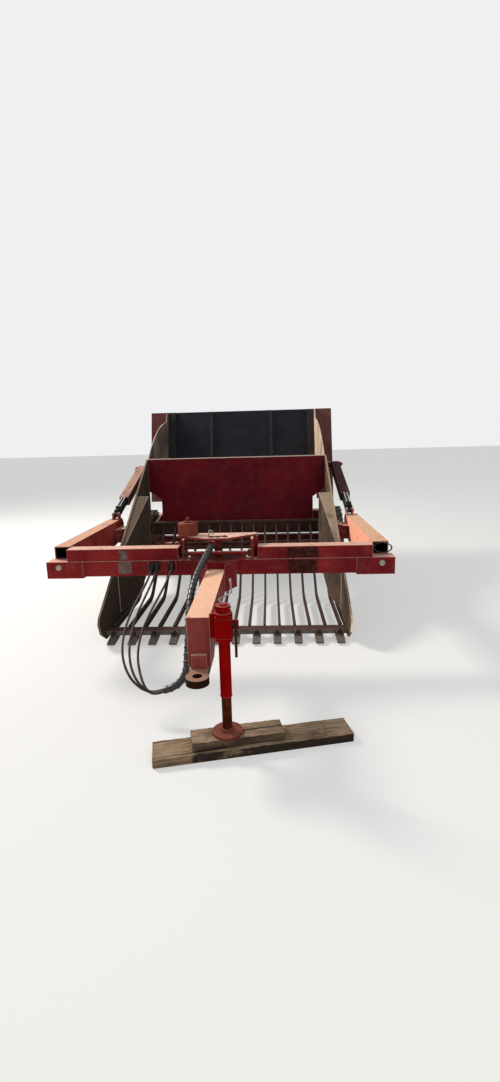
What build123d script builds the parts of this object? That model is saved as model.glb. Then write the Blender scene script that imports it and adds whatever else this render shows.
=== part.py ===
from build123d import *
import os
from math import atan, cos, hypot, radians, sin, tan

os.makedirs("parts", exist_ok=True)

# Trailed stone picker, millimetres. X to the right as seen from the front, +Y to the rear, +Z up,
# origin on the ground in the middle of the machine. The drawbar points along -Y.

# Whole machine, from the middle outwards
rear_reach = 3605          # front face of the beam to the rear of the posts
scoop_half = 1000          # half the working width, over the scoop's sides
side_gap, side_t = 12, 33  # scoop to chassis side, and the chassis side
tyre_gap, tyre_width = 16, 188
arm_set_out, arm_width = 63, 114
beam_overhang = 28
side_inner = scoop_half + side_gap
side_outer = side_inner + side_t
tyre_inner = side_outer + tyre_gap
arm_inner = side_outer + arm_set_out
arm_outer = arm_inner + arm_width
beam_half = arm_outer + beam_overhang

# Fits
running_gap = 5            # least gap between pieces that pass each other
seat_gap = 0.3             # gap between a piece and what it only rests on
pin_clearance = 0.5

# The two planks under the jack reach furthest forward
plank_t, packer_t = 50, 47
plank_length, plank_width, plank_angle = 1066, 165, 12.7
packer_length, packer_width = 490, 130
plank_x, plank_ahead = 270, 1057
packer_x, packer_ahead = 185, 1069
front_reach = plank_ahead + (plank_length * sin(radians(plank_angle)) + plank_width * cos(radians(plank_angle))) / 2

beam_y = (front_reach - rear_reach) / 2     # front face of the beam
rear_y = beam_y + rear_reach

# Stations along the machine, from the beam's front face
eye_ahead, jack_ahead, nose_ahead = 1150, 1080, 1050
toe_back, toe_edge_back, tooth_back, heel_back, toe_bar_back, toe_flat_back = 222, 252, 257, 258, 365, 380
funnel_back, bend_back, funnel_end_back = 780, 1180, 1600
hopper_back, cross_back, lift_top_back, axle_back, tip_back, floor_back = 2165, 2350, 2550, 2750, 3000, 3100

# Front beam: a long lower tube, and an upper tube in two pieces with the turret between
lower_depth, lower_bottom, lower_top = 130, 655, 768
tube_wall, tube_corner = 8, 12
beam_end_length, beam_end_growth = 268, 10
upper_depth, upper_top, upper_corner = 121, 858, 8
upper_gap = 16             # upper tube to side arm
turret_half = 285
beam_pin_r, beam_pin_head = 21, 8
beam_pin_x, beam_pin_z = arm_outer - 64, 728

# Side arms, tall box tubes with open front ends
arm_set_back, arm_length, arm_opening = 100, 1400, 900
arm_top, arm_bottom, arm_heel_z, arm_toe_z = 862, 642, 800, 678
arm_heel_run, arm_toe_run, arm_taper_run, arm_gap = 46, 128, 291, 2
arm_front = beam_y + arm_set_back
arm_rear = arm_front + arm_length

# Turret over the beam, with the pivot pin of the drawbar
turret_plate_z, turret_plate_t = 918, 14
pot_x, pot_y, pot_r, pot_height, pot_round = -222, beam_y + 100, 70, 94, 10
pot_bolt_r, pot_bolt_height = 11, 36
bracket_inner, bracket_t, bracket_front = 236, 16, 12
cheek_front = 105
pivot_y, pivot_r = beam_y + 60, 30
cross_rod_r, cross_rod_y, cross_rod_z = 17, beam_y + 5, 815
gland_wall, gland_length = 5, 34
head_t, head_half, head_neck_half, head_front = 16, 200, 75, 150
gusset_front, gusset_rear, gusset_half = 190, 62, 135

# Drawbar and tow eye
drawbar_width, drawbar_height = 120, 150
drawbar_rear, drawbar_level = beam_y - 40, beam_y - 200
drawbar_top_rear, drawbar_top_front = 737, 722
nose_y, nose_bottom, nose_depth, throat_depth = beam_y - nose_ahead, 450, 140, 300
eye_y, eye_z, eye_t = beam_y - eye_ahead, 430, 40
eye_outer_r, eye_bore_r = 60, 25
tang_half, tang_length = 48, 110
boss_half, boss_height, boss_t = 40, 76, 26

# Jack beside the drawbar, on two planks
jack_x, jack_y = 135, beam_y - jack_ahead
jack_tube_r, jack_tube_wall = 30, 4
jack_tube_bottom, jack_tube_top = 302, 772
jack_cap_r, jack_cap_height, jack_cap_lap = 39, 32, 6
clamp_size, clamp_bottom, clamp_height, clamp_shift = 84, 612, 130, 12
jack_tab_front, jack_tab_t = 24, 12
lug_length, lug_t, lug_bottom, lug_height = 34, 12, 673, 45
jack_leg_r, jack_leg_top = jack_tube_r - jack_tube_wall - seat_gap, 570
jack_foot_r, jack_foot_t, jack_cone_r, jack_cone_height, jack_cone_taper = 80, 12, 40, 16, 30
crank_r, crank_bend_r, crank_reach, crank_set_back, crank_rise, crank_grip = 5, 10, 40, 20, 40, 70

# Chassis side plates, axle and wheels
axle_y, axle_z, axle_size = beam_y + axle_back, 380, 90
wheel_r, rim_r, stub_r, stub_length = 380, 200, 28, 146
bead_inset, shoulder_inset, shoulder_drop, tread_inset, wall_height = 22, 20, 8, 50, 60
hub_r, dish_r, rim_wall = 62, 110, 12
cross_y, cross_z, cross_size, cross_wall = beam_y + cross_back, 380, 80, 6
side_lap, side_top, side_drop = 330, 800, 60
spacer_bottom_inset, spacer_top_inset, spacer_end = 26, 10, 100

# Bucket: a tined scoop and a hopper in one, tipping on two pins at the rear
plate, sheet = 15, 8       # scoop sides, and the hopper's sheets
scoop_inner = scoop_half - plate
tip_y, tip_z, tip_pin_r, tip_pin_end = beam_y + tip_back, 620, 25, 7
toe_y, toe_z, toe_height, toe_edge_y, toe_edge_z = beam_y + toe_back, 20, 178, beam_y + toe_edge_back, 251
heel_y, heel_rise, toe_flat_y = beam_y + heel_back, 85, beam_y + toe_flat_back
hopper_y = beam_y + hopper_back
hopper_half = scoop_inner
front_top, front_bottom, lip = 1414, 705, 32
notch_top, notch_bottom, notch_depth = 1050, 960, 132
notch_half = hopper_half - notch_depth
hopper_floor, hopper_floor_rear = 550, beam_y + floor_back
back_top_y, back_top = rear_y - 100, 1980
curve_flat, curve_run, curve_drop, curve_y, curve_rise = 140, 70, 130, 540, 300
rib_x, rib_width, rib_depth, rib_start = 400, 44, 22, 20
column_width, column_depth, column_start = 92, 36, 12
post_width, post_bottom, post_lead, post_t = 218, 820, 60, 10
post_bottom_depth = 40

# Teeth, toe bar and bars of the scoop
tooth_count, tooth_margin, tooth_width, tooth_t = 12, 81.5, 63, 20
tooth_pitch = 2 * (scoop_half - tooth_margin) / (tooth_count - 1)
tooth_tip_y, tooth_tip_bottom, tooth_tip_top, tooth_bend = beam_y + tooth_back, 14, 28, 10
toe_bar_y, toe_bar_depth, toe_bar_t, toe_bar_bottom = beam_y + toe_bar_back, 85, 40, 55
bar_count, bar_margin, bar_width, bar_depth = 16, 62.5, 20, 45
bar_pitch = 2 * (scoop_half - bar_margin) / (bar_count - 1)
bar_bend_y, bar_z, bar_bend_r, bar_rise_angle = beam_y + bend_back, 85, 260, 36
cross_tube_size = 130
cross_tube_y, cross_tube_z = hopper_y - cross_tube_size / 2, front_bottom - cross_tube_size / 2

# Funnel plates inside the scoop's sides
funnel_front, funnel_rear, funnel_reach, funnel_t = beam_y + funnel_back, beam_y + funnel_end_back, 120, 8
funnel_bottom, funnel_rear_bottom, funnel_drop, flange_t = 112, 400, 12, 10

# Lift cylinders on the side arms
lift_x = arm_inner + 34
lift_pin_inset = 120       # lower pin to the arm's rear end
lift_pin_y, lift_pin_z, lift_pin_r, lift_pin_half = arm_rear - lift_pin_inset, 905, 15, 34
lift_top_y, lift_top_z, lift_top_r = beam_y + lift_top_back, 1290, 32
lug_eye_half, ear_gap, ear_t, ear_r, ear_foot = 17, 3, 12, 26, 48
barrel_r, barrel_bore_r, barrel_eye_r, barrel_end = 32, 22, 24, 60
rod_r, rod_start = barrel_bore_r - seat_gap, 60
guard_size, guard_wall, guard_start, guard_end_gap, guard_end_t = 92, 6, 320, 46, 12
boss_plate_r, boss_plate_t = 75, 14

# Hoses
hose_d, sleeve_d, socket_length = 15, 46, 22
hose_lead, hose_tail, hose_end_gap = 36, 55, 1.5

# Routes of three hoses from the beam, hanging in a loop, and of the sleeve that gathers them
sleeve_start = Vector(-255, beam_y - 800, 186)
sleeve_points = [tuple(sleeve_start), (-193, beam_y - 800, 206), (-145, beam_y - 798, 250),
                 (-119, beam_y - 790, 309), (-116, beam_y - 764, 384), (-113, beam_y - 710, 480),
                 (-119, beam_y - 620, 582), (-124, beam_y - 500, 668), (-112, beam_y - 362, 738),
                 (-82, beam_y - 222, 800), (-50, beam_y - 90, 856), (-36, beam_y - 25, 884)]
hose_gather = (Vector(*sleeve_points[1]) - sleeve_start).normalized()
hose_rows = (
    # name, X and Z of the socket, offset across the sleeve's end, hanging points
    ("a", -472, 712, 16, [(-478, -118, 672), (-510, -232, 596), (-548, -385, 508), (-560, -525, 415),
                          (-540, -645, 322), (-480, -730, 236), (-400, -775, 184), (-352, -784, 171)]),
    ("b", -436, 712, 0, [(-442, -120, 670), (-474, -240, 586), (-506, -385, 498), (-516, -525, 406),
                         (-496, -648, 316), (-446, -738, 238), (-382, -785, 190), (-352, -796, 176)]),
    ("c", -330, 716, -16, [(-338, -120, 674), (-374, -240, 596), (-420, -385, 508), (-450, -520, 418),
                           (-446, -640, 332), (-412, -732, 262), (-376, -790, 212), (-346, -812, 186)]),
)


def span(a, b):
    """Middle and length of the stretch from a to b."""
    return (a + b) / 2, abs(b - a)


def block(x, y, z):
    """A box between two X, two Y and two Z values."""
    with Locations(((x[0] + x[1]) / 2, (y[0] + y[1]) / 2, (z[0] + z[1]) / 2)):
        Box(abs(x[1] - x[0]), abs(y[1] - y[0]), abs(z[1] - z[0]))


def side_outline(x, thickness, points):
    """A plate of the given thickness from plane X = x, outlined in Y and Z."""
    with BuildSketch(Plane.YZ.offset(x)) as outline:
        with BuildLine():
            Polyline(*points, close=True)
        make_face()
    extrude(outline.sketch, amount=thickness)


def cross_cylinder(x_from, x_to, y, z, radius, mode=Mode.ADD):
    """A cylinder along X."""
    with BuildSketch(Plane.YZ.offset(x_from)) as section:
        with Locations((y, z)):
            Circle(radius)
    extrude(section.sketch, amount=x_to - x_from, mode=mode)


def upright_disc(x, y, bottom, radius, height):
    """A cylinder along Z."""
    with BuildSketch(Plane.XY.offset(bottom)) as section:
        with Locations((x, y)):
            Circle(radius)
    extrude(section.sketch, amount=height)


def hose_radii(points):
    """Bend radius at each inner point: 0.45 of the shorter run over the tangent of half the turn."""
    radii = []
    for a, b, c in zip(points, points[1:], points[2:]):
        into = Vector(*b) - Vector(*a)
        out = Vector(*c) - Vector(*b)
        half_turn = radians(into.get_angle(out)) / 2
        radii.append(0.45 * min(into.length, out.length) / tan(half_turn))
    return radii


def hose_tube(points, diameter):
    """A tube of straight runs joined by tangent arcs."""
    radii = hose_radii(points)
    print("hose radii", [round(r) for r in radii])
    with BuildLine() as path:
        FilletPolyline(*points, radius=radii)
    middle_line = path.wires()[0]
    with BuildSketch(Plane(origin=middle_line @ 0, z_dir=middle_line % 0)) as section:
        Circle(diameter / 2)
    sweep(section.sketch, path=middle_line)
    print("hose length", round(middle_line.length))


# Front beam

with BuildPart() as beam_lower:
    with BuildSketch(Plane.YZ.offset(-beam_half)):
        middle_z, height = span(lower_bottom, lower_top)
        with Locations((beam_y + lower_depth / 2, middle_z)):
            RectangleRounded(lower_depth, height, tube_corner)
            RectangleRounded(lower_depth - 2 * tube_wall, height - 2 * tube_wall, tube_corner - tube_wall,
                             mode=Mode.SUBTRACT)
    extrude(amount=2 * beam_half)
    for side in (-1, 1):
        with BuildSketch(Plane.YZ.offset(side * (beam_half - beam_end_length))):
            with Locations((beam_y + lower_depth / 2, middle_z - beam_end_growth / 2)):
                Rectangle(lower_depth, height + beam_end_growth)
                Rectangle(lower_depth - 2 * tube_wall, height - 2 * tube_wall, mode=Mode.SUBTRACT)
        extrude(amount=side * beam_end_length)
beam_lower.part.label = "beam_lower"
export_step(beam_lower.part, "parts/beam_lower.step")

with BuildPart() as beam_pins:
    for side in (-1, 1):
        with BuildSketch(Plane.XZ.offset(-beam_y)):
            with Locations((side * beam_pin_x, beam_pin_z)):
                Circle(beam_pin_r)
        extrude(amount=beam_pin_head)
beam_pins.part.label = "beam_pins"
export_step(beam_pins.part, "parts/beam_pins.step")

with BuildPart() as beam_upper:
    for side in (-1, 1):
        with BuildSketch(Plane.YZ.offset(side * turret_half)):
            middle_z, height = span(lower_top, upper_top)
            with Locations((beam_y + upper_depth / 2, middle_z)):
                RectangleRounded(upper_depth, height, upper_corner)
                Rectangle(upper_depth - 2 * tube_wall, height - 2 * tube_wall, mode=Mode.SUBTRACT)
        extrude(amount=side * (arm_inner - upper_gap - turret_half))
beam_upper.part.label = "beam_upper"
export_step(beam_upper.part, "parts/beam_upper.step")

# Side arms

for side, name in ((-1, "left"), (1, "right")):
    with BuildPart() as arm:
        behind_beam = beam_y + lower_depth + arm_gap
        side_outline(side * arm_inner, side * arm_width, [
            (arm_front, lower_top), (arm_front, arm_top), (arm_rear - arm_heel_run, arm_top),
            (arm_rear, arm_heel_z), (arm_rear - arm_toe_run, arm_toe_z), (arm_rear - arm_taper_run, arm_bottom),
            (behind_beam, arm_bottom), (behind_beam, lower_top)])
        with BuildSketch(Plane.XZ.offset(-arm_front)):
            middle_z, height = span(lower_top + tube_wall, arm_top - tube_wall)
            with Locations((side * (arm_inner + arm_width / 2), middle_z)):
                Rectangle(arm_width - 2 * tube_wall, height)
        extrude(amount=-arm_opening, mode=Mode.SUBTRACT)
        for ear in (-1, 1):
            ear_x = side * lift_x + ear * (lug_eye_half + ear_gap)
            with BuildSketch(Plane.YZ.offset(ear_x)):
                with BuildLine():
                    Polyline((lift_pin_y - ear_foot, arm_top), (lift_pin_y - ear_r, lift_pin_z),
                             (lift_pin_y + ear_r, lift_pin_z), (lift_pin_y + ear_foot, arm_top), close=True)
                make_face()
                with Locations((lift_pin_y, lift_pin_z)):
                    Circle(ear_r)
            extrude(amount=ear * ear_t)
        cross_cylinder(side * lift_x - lift_pin_half, side * lift_x + lift_pin_half, lift_pin_y, lift_pin_z,
                       lift_pin_r)
    arm.part.label = f"arm_{name}"
    export_step(arm.part, f"parts/arm_{name}.step")

# Turret

with BuildPart() as turret:
    with BuildSketch(Plane.XY.offset(turret_plate_z)):
        with BuildLine():
            Polyline((-turret_half - 20, beam_y + 75), (-95, beam_y - 40), (75, beam_y - 42),
                     (turret_half - 10, beam_y + 110), (turret_half - 10, beam_y + 165), (-170, beam_y + 165),
                     (-turret_half - 20, beam_y + 150), close=True)
        make_face()
    extrude(amount=turret_plate_t)
    for side in (-1, 1):
        x_in = side * bracket_inner
        x_out = side * (bracket_inner + bracket_t)
        bracket_z = (lower_top, turret_plate_z)
        block((x_in, x_out), (beam_y - bracket_front, beam_y + upper_depth), bracket_z)
        block((x_out, side * turret_half), (beam_y + cheek_front, beam_y + upper_depth), bracket_z)
    cross_cylinder(-bracket_inner, bracket_inner, cross_rod_y, cross_rod_z, cross_rod_r)
    upright_disc(0, pivot_y, lower_top, pivot_r, turret_plate_z - lower_top)
    gland_direction = Vector(*sleeve_points[-1]) - Vector(*sleeve_points[-2])
    with BuildSketch(Plane(origin=sleeve_points[-1], z_dir=gland_direction)):
        Circle(sleeve_d / 2 + gland_wall)
    extrude(amount=gland_length)
turret.part.label = "turret"
export_step(turret.part, "parts/turret.step")

with BuildPart() as oil_pot:
    pot_bottom = turret_plate_z + turret_plate_t
    upright_disc(pot_x, pot_y, pot_bottom, pot_r, pot_height)
    fillet(oil_pot.faces().sort_by(Axis.Z)[-1].edges(), pot_round)
    upright_disc(pot_x, pot_y, pot_bottom + pot_height - 2, pot_bolt_r, pot_bolt_height + 2)
oil_pot.part.label = "oil_pot"
export_step(oil_pot.part, "parts/oil_pot.step")

# Drawbar

with BuildPart() as drawbar:
    side_outline(-drawbar_width / 2, drawbar_width, [
        (drawbar_rear, drawbar_top_rear), (drawbar_level, drawbar_top_rear), (nose_y, drawbar_top_front),
        (nose_y, nose_bottom), (nose_y + nose_depth, nose_bottom),
        (nose_y + throat_depth, drawbar_top_front - drawbar_height),
        (drawbar_rear, drawbar_top_rear - drawbar_height)])
drawbar.part.label = "drawbar"
export_step(drawbar.part, "parts/drawbar.step")

with BuildPart() as drawbar_head:
    head_z = lower_top + running_gap
    with BuildSketch(Plane.XY.offset(head_z)):
        with BuildLine():
            Polyline((-head_neck_half, beam_y - head_front), (head_neck_half, beam_y - head_front),
                     (head_half, cross_rod_y), (head_half, pivot_y), (90, pivot_y + 60), (-90, pivot_y + 60),
                     (-head_half, pivot_y), (-head_half, cross_rod_y), close=True)
        make_face()
        with Locations((0, pivot_y)):
            Circle(pivot_r + pin_clearance, mode=Mode.SUBTRACT)
    extrude(amount=head_t)
    for side in (-1, 1):
        half = side * drawbar_width / 2
        with BuildSketch(Plane.XY.offset(drawbar_top_rear - drawbar_height)):
            with BuildLine():
                Polyline((half, beam_y - gusset_rear), (half, beam_y - gusset_front),
                         (side * gusset_half, beam_y - gusset_rear), close=True)
            make_face()
        extrude(amount=head_z - drawbar_top_rear + drawbar_height)
    block((-drawbar_width / 2, drawbar_width / 2), (beam_y - head_front, drawbar_rear), (drawbar_top_rear, head_z))
drawbar_head.part.label = "drawbar_head"
export_step(drawbar_head.part, "parts/drawbar_head.step")

with BuildPart() as tow_eye:
    eye_bottom = eye_z - eye_t / 2
    block((-boss_half, boss_half), (nose_y - boss_t, nose_y), (nose_bottom, nose_bottom + boss_height))
    block((-tang_half, tang_half), (eye_y + eye_bore_r + 8, nose_y + tang_length), (eye_bottom, nose_bottom))
    upright_disc(0, eye_y, eye_bottom, eye_outer_r, eye_t)
    with BuildSketch(Plane.XY.offset(eye_bottom)):
        with Locations((0, eye_y)):
            Circle(eye_bore_r)
    extrude(amount=eye_t, mode=Mode.SUBTRACT)
tow_eye.part.label = "tow_eye"
export_step(tow_eye.part, "parts/tow_eye.step")

# Jack

with BuildPart() as jack_tube:
    upright_disc(jack_x, jack_y, jack_tube_bottom, jack_tube_r, jack_tube_top - jack_tube_bottom)
    with BuildSketch(Plane.XY.offset(clamp_bottom)):
        with Locations((jack_x, jack_y + clamp_shift)):
            Rectangle(clamp_size, clamp_size)
    extrude(amount=clamp_height)
    tab_y = jack_y + jack_tab_front
    block((drawbar_width / 2, jack_x - clamp_size / 2), (tab_y, tab_y + jack_tab_t),
          (clamp_bottom, clamp_bottom + clamp_height))
    lug_x = jack_x + clamp_size / 2
    block((lug_x, lug_x + lug_length), (jack_y - lug_t / 2, jack_y + lug_t / 2),
          (lug_bottom, lug_bottom + lug_height))
    with BuildSketch(Plane.XY.offset(jack_tube_bottom)):
        with Locations((jack_x, jack_y)):
            Circle(jack_tube_r - jack_tube_wall)
    extrude(amount=jack_tube_top - jack_tube_bottom, mode=Mode.SUBTRACT)
    upright_disc(jack_x, jack_y, jack_tube_top - jack_cap_lap, jack_cap_r, jack_cap_height)
jack_tube.part.label = "jack_tube"
export_step(jack_tube.part, "parts/jack_tube.step")

with BuildPart() as jack_leg:
    foot_bottom = plank_t + packer_t + seat_gap
    foot_top = foot_bottom + jack_foot_t
    upright_disc(jack_x, jack_y, foot_bottom, jack_foot_r, jack_foot_t)
    with BuildSketch(Plane.XY.offset(foot_top)):
        with Locations((jack_x, jack_y)):
            Circle(jack_cone_r)
    extrude(amount=jack_cone_height, taper=jack_cone_taper)
    upright_disc(jack_x, jack_y, foot_top, jack_leg_r, jack_leg_top - foot_top)
jack_leg.part.label = "jack_leg"
export_step(jack_leg.part, "parts/jack_leg.step")

with BuildPart() as jack_crank:
    crank_z = jack_tube_top - jack_cap_lap + jack_cap_height
    crank_x = jack_x + crank_reach
    elbow_y, elbow_z = jack_y + crank_set_back, crank_z + 2 * crank_bend_r + crank_rise
    with BuildLine() as crank_line:
        FilletPolyline((jack_x, jack_y, crank_z), (jack_x, jack_y, crank_z + 2 * crank_bend_r),
                       (crank_x, elbow_y, elbow_z), (crank_x, elbow_y, elbow_z + crank_grip),
                       radius=crank_bend_r)
    with BuildSketch(Plane.XY.offset(crank_z)):
        with Locations((jack_x, jack_y)):
            Circle(crank_r)
    sweep(path=crank_line.wires()[0])
jack_crank.part.label = "jack_crank"
export_step(jack_crank.part, "parts/jack_crank.step")

for name, bottom, thickness, length, width, centre_x, centre_y in (
        ("plank_lower", 0, plank_t, plank_length, plank_width, plank_x, beam_y - plank_ahead),
        ("plank_upper", plank_t, packer_t, packer_length, packer_width, packer_x, beam_y - packer_ahead)):
    with BuildPart() as plank:
        with BuildSketch(Plane.XY.offset(bottom)):
            with Locations((centre_x, centre_y)):
                Rectangle(length, width, rotation=plank_angle)
        extrude(amount=thickness)
    plank.part.label = name
    export_step(plank.part, f"parts/{name}.step")

# Chassis sides, axle and wheels

with BuildPart() as side_plates:
    for side in (-1, 1):
        side_outline(side * side_inner, side * side_t, [
            (arm_rear - side_lap, arm_bottom + 10), (arm_rear - side_lap, side_top), (arm_rear - 60, side_top),
            (cross_y, 600), (tip_y - 90, tip_z + 78), (tip_y + 30, tip_z + 78), (tip_y + 82, tip_z + 20),
            (tip_y + 60, tip_z - 60), (axle_y + 90, axle_z - side_drop), (cross_y - 60, axle_z - side_drop),
            (arm_rear, 560)])
        block((side * side_outer, side * arm_inner), (arm_rear - side_lap, arm_rear - spacer_end),
              (arm_bottom + spacer_bottom_inset, side_top - spacer_top_inset))
        cross_cylinder(side * side_inner, side * side_outer, tip_y, tip_z, tip_pin_r + pin_clearance,
                       mode=Mode.SUBTRACT)
side_plates.part.label = "side_plates"
export_step(side_plates.part, "parts/side_plates.step")

with BuildPart() as axle:
    block((-side_inner, side_inner), (axle_y - axle_size / 2, axle_y + axle_size / 2),
          (axle_z - axle_size / 2, axle_z + axle_size / 2))
axle.part.label = "axle"
export_step(axle.part, "parts/axle.step")

with BuildPart() as axle_stubs:
    for side in (-1, 1):
        cross_cylinder(side * side_outer, side * (side_outer + stub_length), axle_y, axle_z, stub_r)
axle_stubs.part.label = "axle_stubs"
export_step(axle_stubs.part, "parts/axle_stubs.step")

with BuildPart() as cross_member:
    with BuildSketch(Plane.YZ.offset(-side_inner)):
        with Locations((cross_y, cross_z)):
            Rectangle(cross_size, cross_size)
            Rectangle(cross_size - 2 * cross_wall, cross_size - 2 * cross_wall, mode=Mode.SUBTRACT)
    extrude(amount=2 * side_inner)
cross_member.part.label = "cross_member"
export_step(cross_member.part, "parts/cross_member.step")

for side, name in ((-1, "left"), (1, "right")):
    # the sketch's first coordinate is the radius, its second runs along X
    wheel_plane = Plane(origin=(0, axle_y, axle_z), x_dir=(0, 0, 1), z_dir=(0, 1, 0))
    inner, outer = tyre_inner, tyre_inner + tyre_width
    centre = (inner + outer) / 2
    wall_top = wheel_r - 2 * shoulder_inset
    with BuildPart() as tyre:
        with BuildSketch(wheel_plane):
            with BuildLine():
                Polyline((rim_r, side * (inner + bead_inset)), (rim_r + wall_height, side * inner),
                         (wall_top, side * inner), (wheel_r - shoulder_drop, side * (inner + shoulder_inset)),
                         (wheel_r, side * (inner + tread_inset)), (wheel_r, side * (outer - tread_inset)),
                         (wheel_r - shoulder_drop, side * (outer - shoulder_inset)), (wall_top, side * outer),
                         (rim_r + wall_height, side * outer), (rim_r, side * (outer - bead_inset)), close=True)
            make_face()
        revolve(axis=Axis((0, axle_y, axle_z), (1, 0, 0)))
    tyre.part.label = f"tyre_{name}"
    export_step(tyre.part, f"parts/tyre_{name}.step")
    with BuildPart() as rim:
        hub_bore = stub_r + pin_clearance
        bead = rim_r - rim_wall
        with BuildSketch(wheel_plane):
            with BuildLine():
                Polyline((rim_r, side * (inner + bead_inset)), (rim_r, side * (outer - bead_inset)),
                         (bead, side * (outer - bead_inset)), (bead - rim_wall, side * (centre + 20)),
                         (dish_r, side * (centre + 8)), (dish_r - 20, side * (centre + 40)),
                         (hub_r, side * (centre + 44)), (hub_bore, side * (centre + 44)),
                         (hub_bore, side * (centre - 40)), (hub_r, side * (centre - 40)),
                         (hub_r, side * (centre - 4)), (dish_r, side * (centre - 4)),
                         (bead - rim_wall, side * (centre + 8)), (bead, side * (inner + bead_inset)), close=True)
            make_face()
        revolve(axis=Axis((0, axle_y, axle_z), (1, 0, 0)))
    rim.part.label = f"rim_{name}"
    export_step(rim.part, f"parts/rim_{name}.step")

# Scoop

edge_slope = (front_top - toe_edge_z) / (hopper_y - toe_edge_y)


def edge_z(y):
    """Height of the straight top edge of the scoop's sides."""
    return front_top - edge_slope * (hopper_y - y)


for side, name in ((-1, "left"), (1, "right")):
    with BuildPart() as scoop_side:
        side_outline(side * scoop_inner, side * plate, [
            (toe_y, toe_z + toe_height), (toe_edge_y, toe_edge_z), (hopper_y, front_top),
            (hopper_y, notch_bottom), (hopper_y, hopper_floor + 60), (cross_tube_y, hopper_floor),
            (funnel_rear, funnel_rear_bottom - 150), (bar_bend_y, toe_z), (toe_flat_y, toe_z),
            (heel_y, toe_z + heel_rise)])
    scoop_side.part.label = f"scoop_side_{name}"
    export_step(scoop_side.part, f"parts/scoop_side_{name}.step")

with BuildPart() as funnels:
    front_width = funnel_t * (funnel_rear - funnel_front) / funnel_reach
    with BuildSketch(Plane.XY.offset(funnel_bottom)):
        for side in (-1, 1):
            with BuildLine():
                Polyline((side * scoop_inner, funnel_front), (side * scoop_inner, funnel_front + front_width),
                         (side * (scoop_inner - funnel_reach + funnel_t), funnel_rear),
                         (side * (scoop_inner - funnel_reach), funnel_rear), close=True)
            make_face()
    extrude(amount=front_top)
    with BuildSketch(Plane.YZ.offset(-scoop_inner)):
        with BuildLine():
            Polyline((funnel_front, funnel_bottom), (bar_bend_y, funnel_bottom), (funnel_rear, funnel_rear_bottom),
                     (funnel_rear, edge_z(funnel_rear) - funnel_drop),
                     (funnel_front, edge_z(funnel_front) - funnel_drop), close=True)
        make_face()
    extrude(amount=2 * scoop_inner, mode=Mode.INTERSECT)
    edge_angle = atan(edge_slope)
    along = 1 / cos(edge_angle)
    with BuildSketch(Plane(origin=(0, hopper_y, front_top - funnel_drop), x_dir=(1, 0, 0),
                           z_dir=(0, -sin(edge_angle), cos(edge_angle)))):
        for side in (-1, 1):
            with BuildLine():
                Polyline((side * scoop_inner, (funnel_front - hopper_y) * along),
                         (side * scoop_inner, (funnel_rear - hopper_y) * along),
                         (side * (scoop_inner - funnel_reach), (funnel_rear - hopper_y) * along), close=True)
            make_face()
    extrude(amount=-flange_t)
funnels.part.label = "funnels"
export_step(funnels.part, "parts/funnels.step")


def bar_edge(below):
    """One edge of a bar, at a distance below its middle line: flat, bent up, then rising to the tube."""
    flat = Line((toe_bar_y + toe_bar_depth, bar_z - below), (bar_bend_y, bar_z - below))
    bend = CenterArc((bar_bend_y, bar_z + bar_bend_r), bar_bend_r + below, -90, bar_rise_angle)
    run = cross_tube_y - cross_tube_size / 2 - (bend @ 1).X
    rise = Line(bend @ 1, (bend @ 1) + Vector(run, run * tan(radians(bar_rise_angle))))
    return flat @ 0, rise @ 1


with BuildPart() as bars:
    for index in range(bar_count):
        bar_x = (index - (bar_count - 1) / 2) * bar_pitch
        with BuildSketch(Plane.YZ.offset(bar_x - bar_width / 2)):
            with BuildLine():
                lower_front, lower_rear = bar_edge(bar_depth / 2)
                upper_front, upper_rear = bar_edge(-bar_depth / 2)
                Line(lower_front, upper_front)
                Line(lower_rear, upper_rear)
            make_face()
        extrude(amount=bar_width)
bars.part.label = "bars"
export_step(bars.part, "parts/bars.step")

with BuildPart() as toe_bar:
    block((-scoop_inner, scoop_inner), (toe_bar_y, toe_bar_y + toe_bar_depth),
          (toe_bar_bottom, toe_bar_bottom + toe_bar_t))
toe_bar.part.label = "toe_bar"
export_step(toe_bar.part, "parts/toe_bar.step")

with BuildPart() as cross_tube:
    with BuildSketch(Plane.YZ.offset(-scoop_inner)):
        with Locations((cross_tube_y, cross_tube_z)):
            Rectangle(cross_tube_size, cross_tube_size)
            Rectangle(cross_tube_size - 2 * tube_wall, cross_tube_size - 2 * tube_wall, mode=Mode.SUBTRACT)
    extrude(amount=2 * scoop_inner)
cross_tube.part.label = "cross_tube"
export_step(cross_tube.part, "parts/cross_tube.step")

with BuildPart() as teeth:
    toe_bar_rear = toe_bar_y + toe_bar_depth
    for index in range(tooth_count):
        tooth_x = (index - (tooth_count - 1) / 2) * tooth_pitch
        side_outline(tooth_x - tooth_width / 2, tooth_width, [
            (tooth_tip_y, tooth_tip_bottom), (tooth_tip_y, tooth_tip_top), (toe_bar_y, toe_bar_bottom),
            (toe_bar_rear, toe_bar_bottom), (toe_bar_rear, toe_bar_bottom - tooth_t),
            (toe_bar_y - tooth_bend, 22)])
teeth.part.label = "teeth"
export_step(teeth.part, "parts/teeth.step")

# Hopper


def hopper_section(inset):
    """The hopper's outline seen from the front: wide above the notch, narrow below it."""
    wide = hopper_half - inset
    narrow = notch_half - inset
    above = back_top + 200
    return [(-wide, above), (-wide, notch_top), (-narrow, notch_bottom), (-narrow, hopper_floor + inset),
            (narrow, hopper_floor + inset), (narrow, notch_bottom), (wide, notch_top), (wide, above)]


wall_lean = (back_top_y - hopper_floor_rear) / (back_top - hopper_floor)


def wall_y(z, away=0):
    """Y of the leaning back wall's front face at a height, or of a plane behind it."""
    return hopper_floor_rear + wall_lean * (z - hopper_floor) + away


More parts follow.
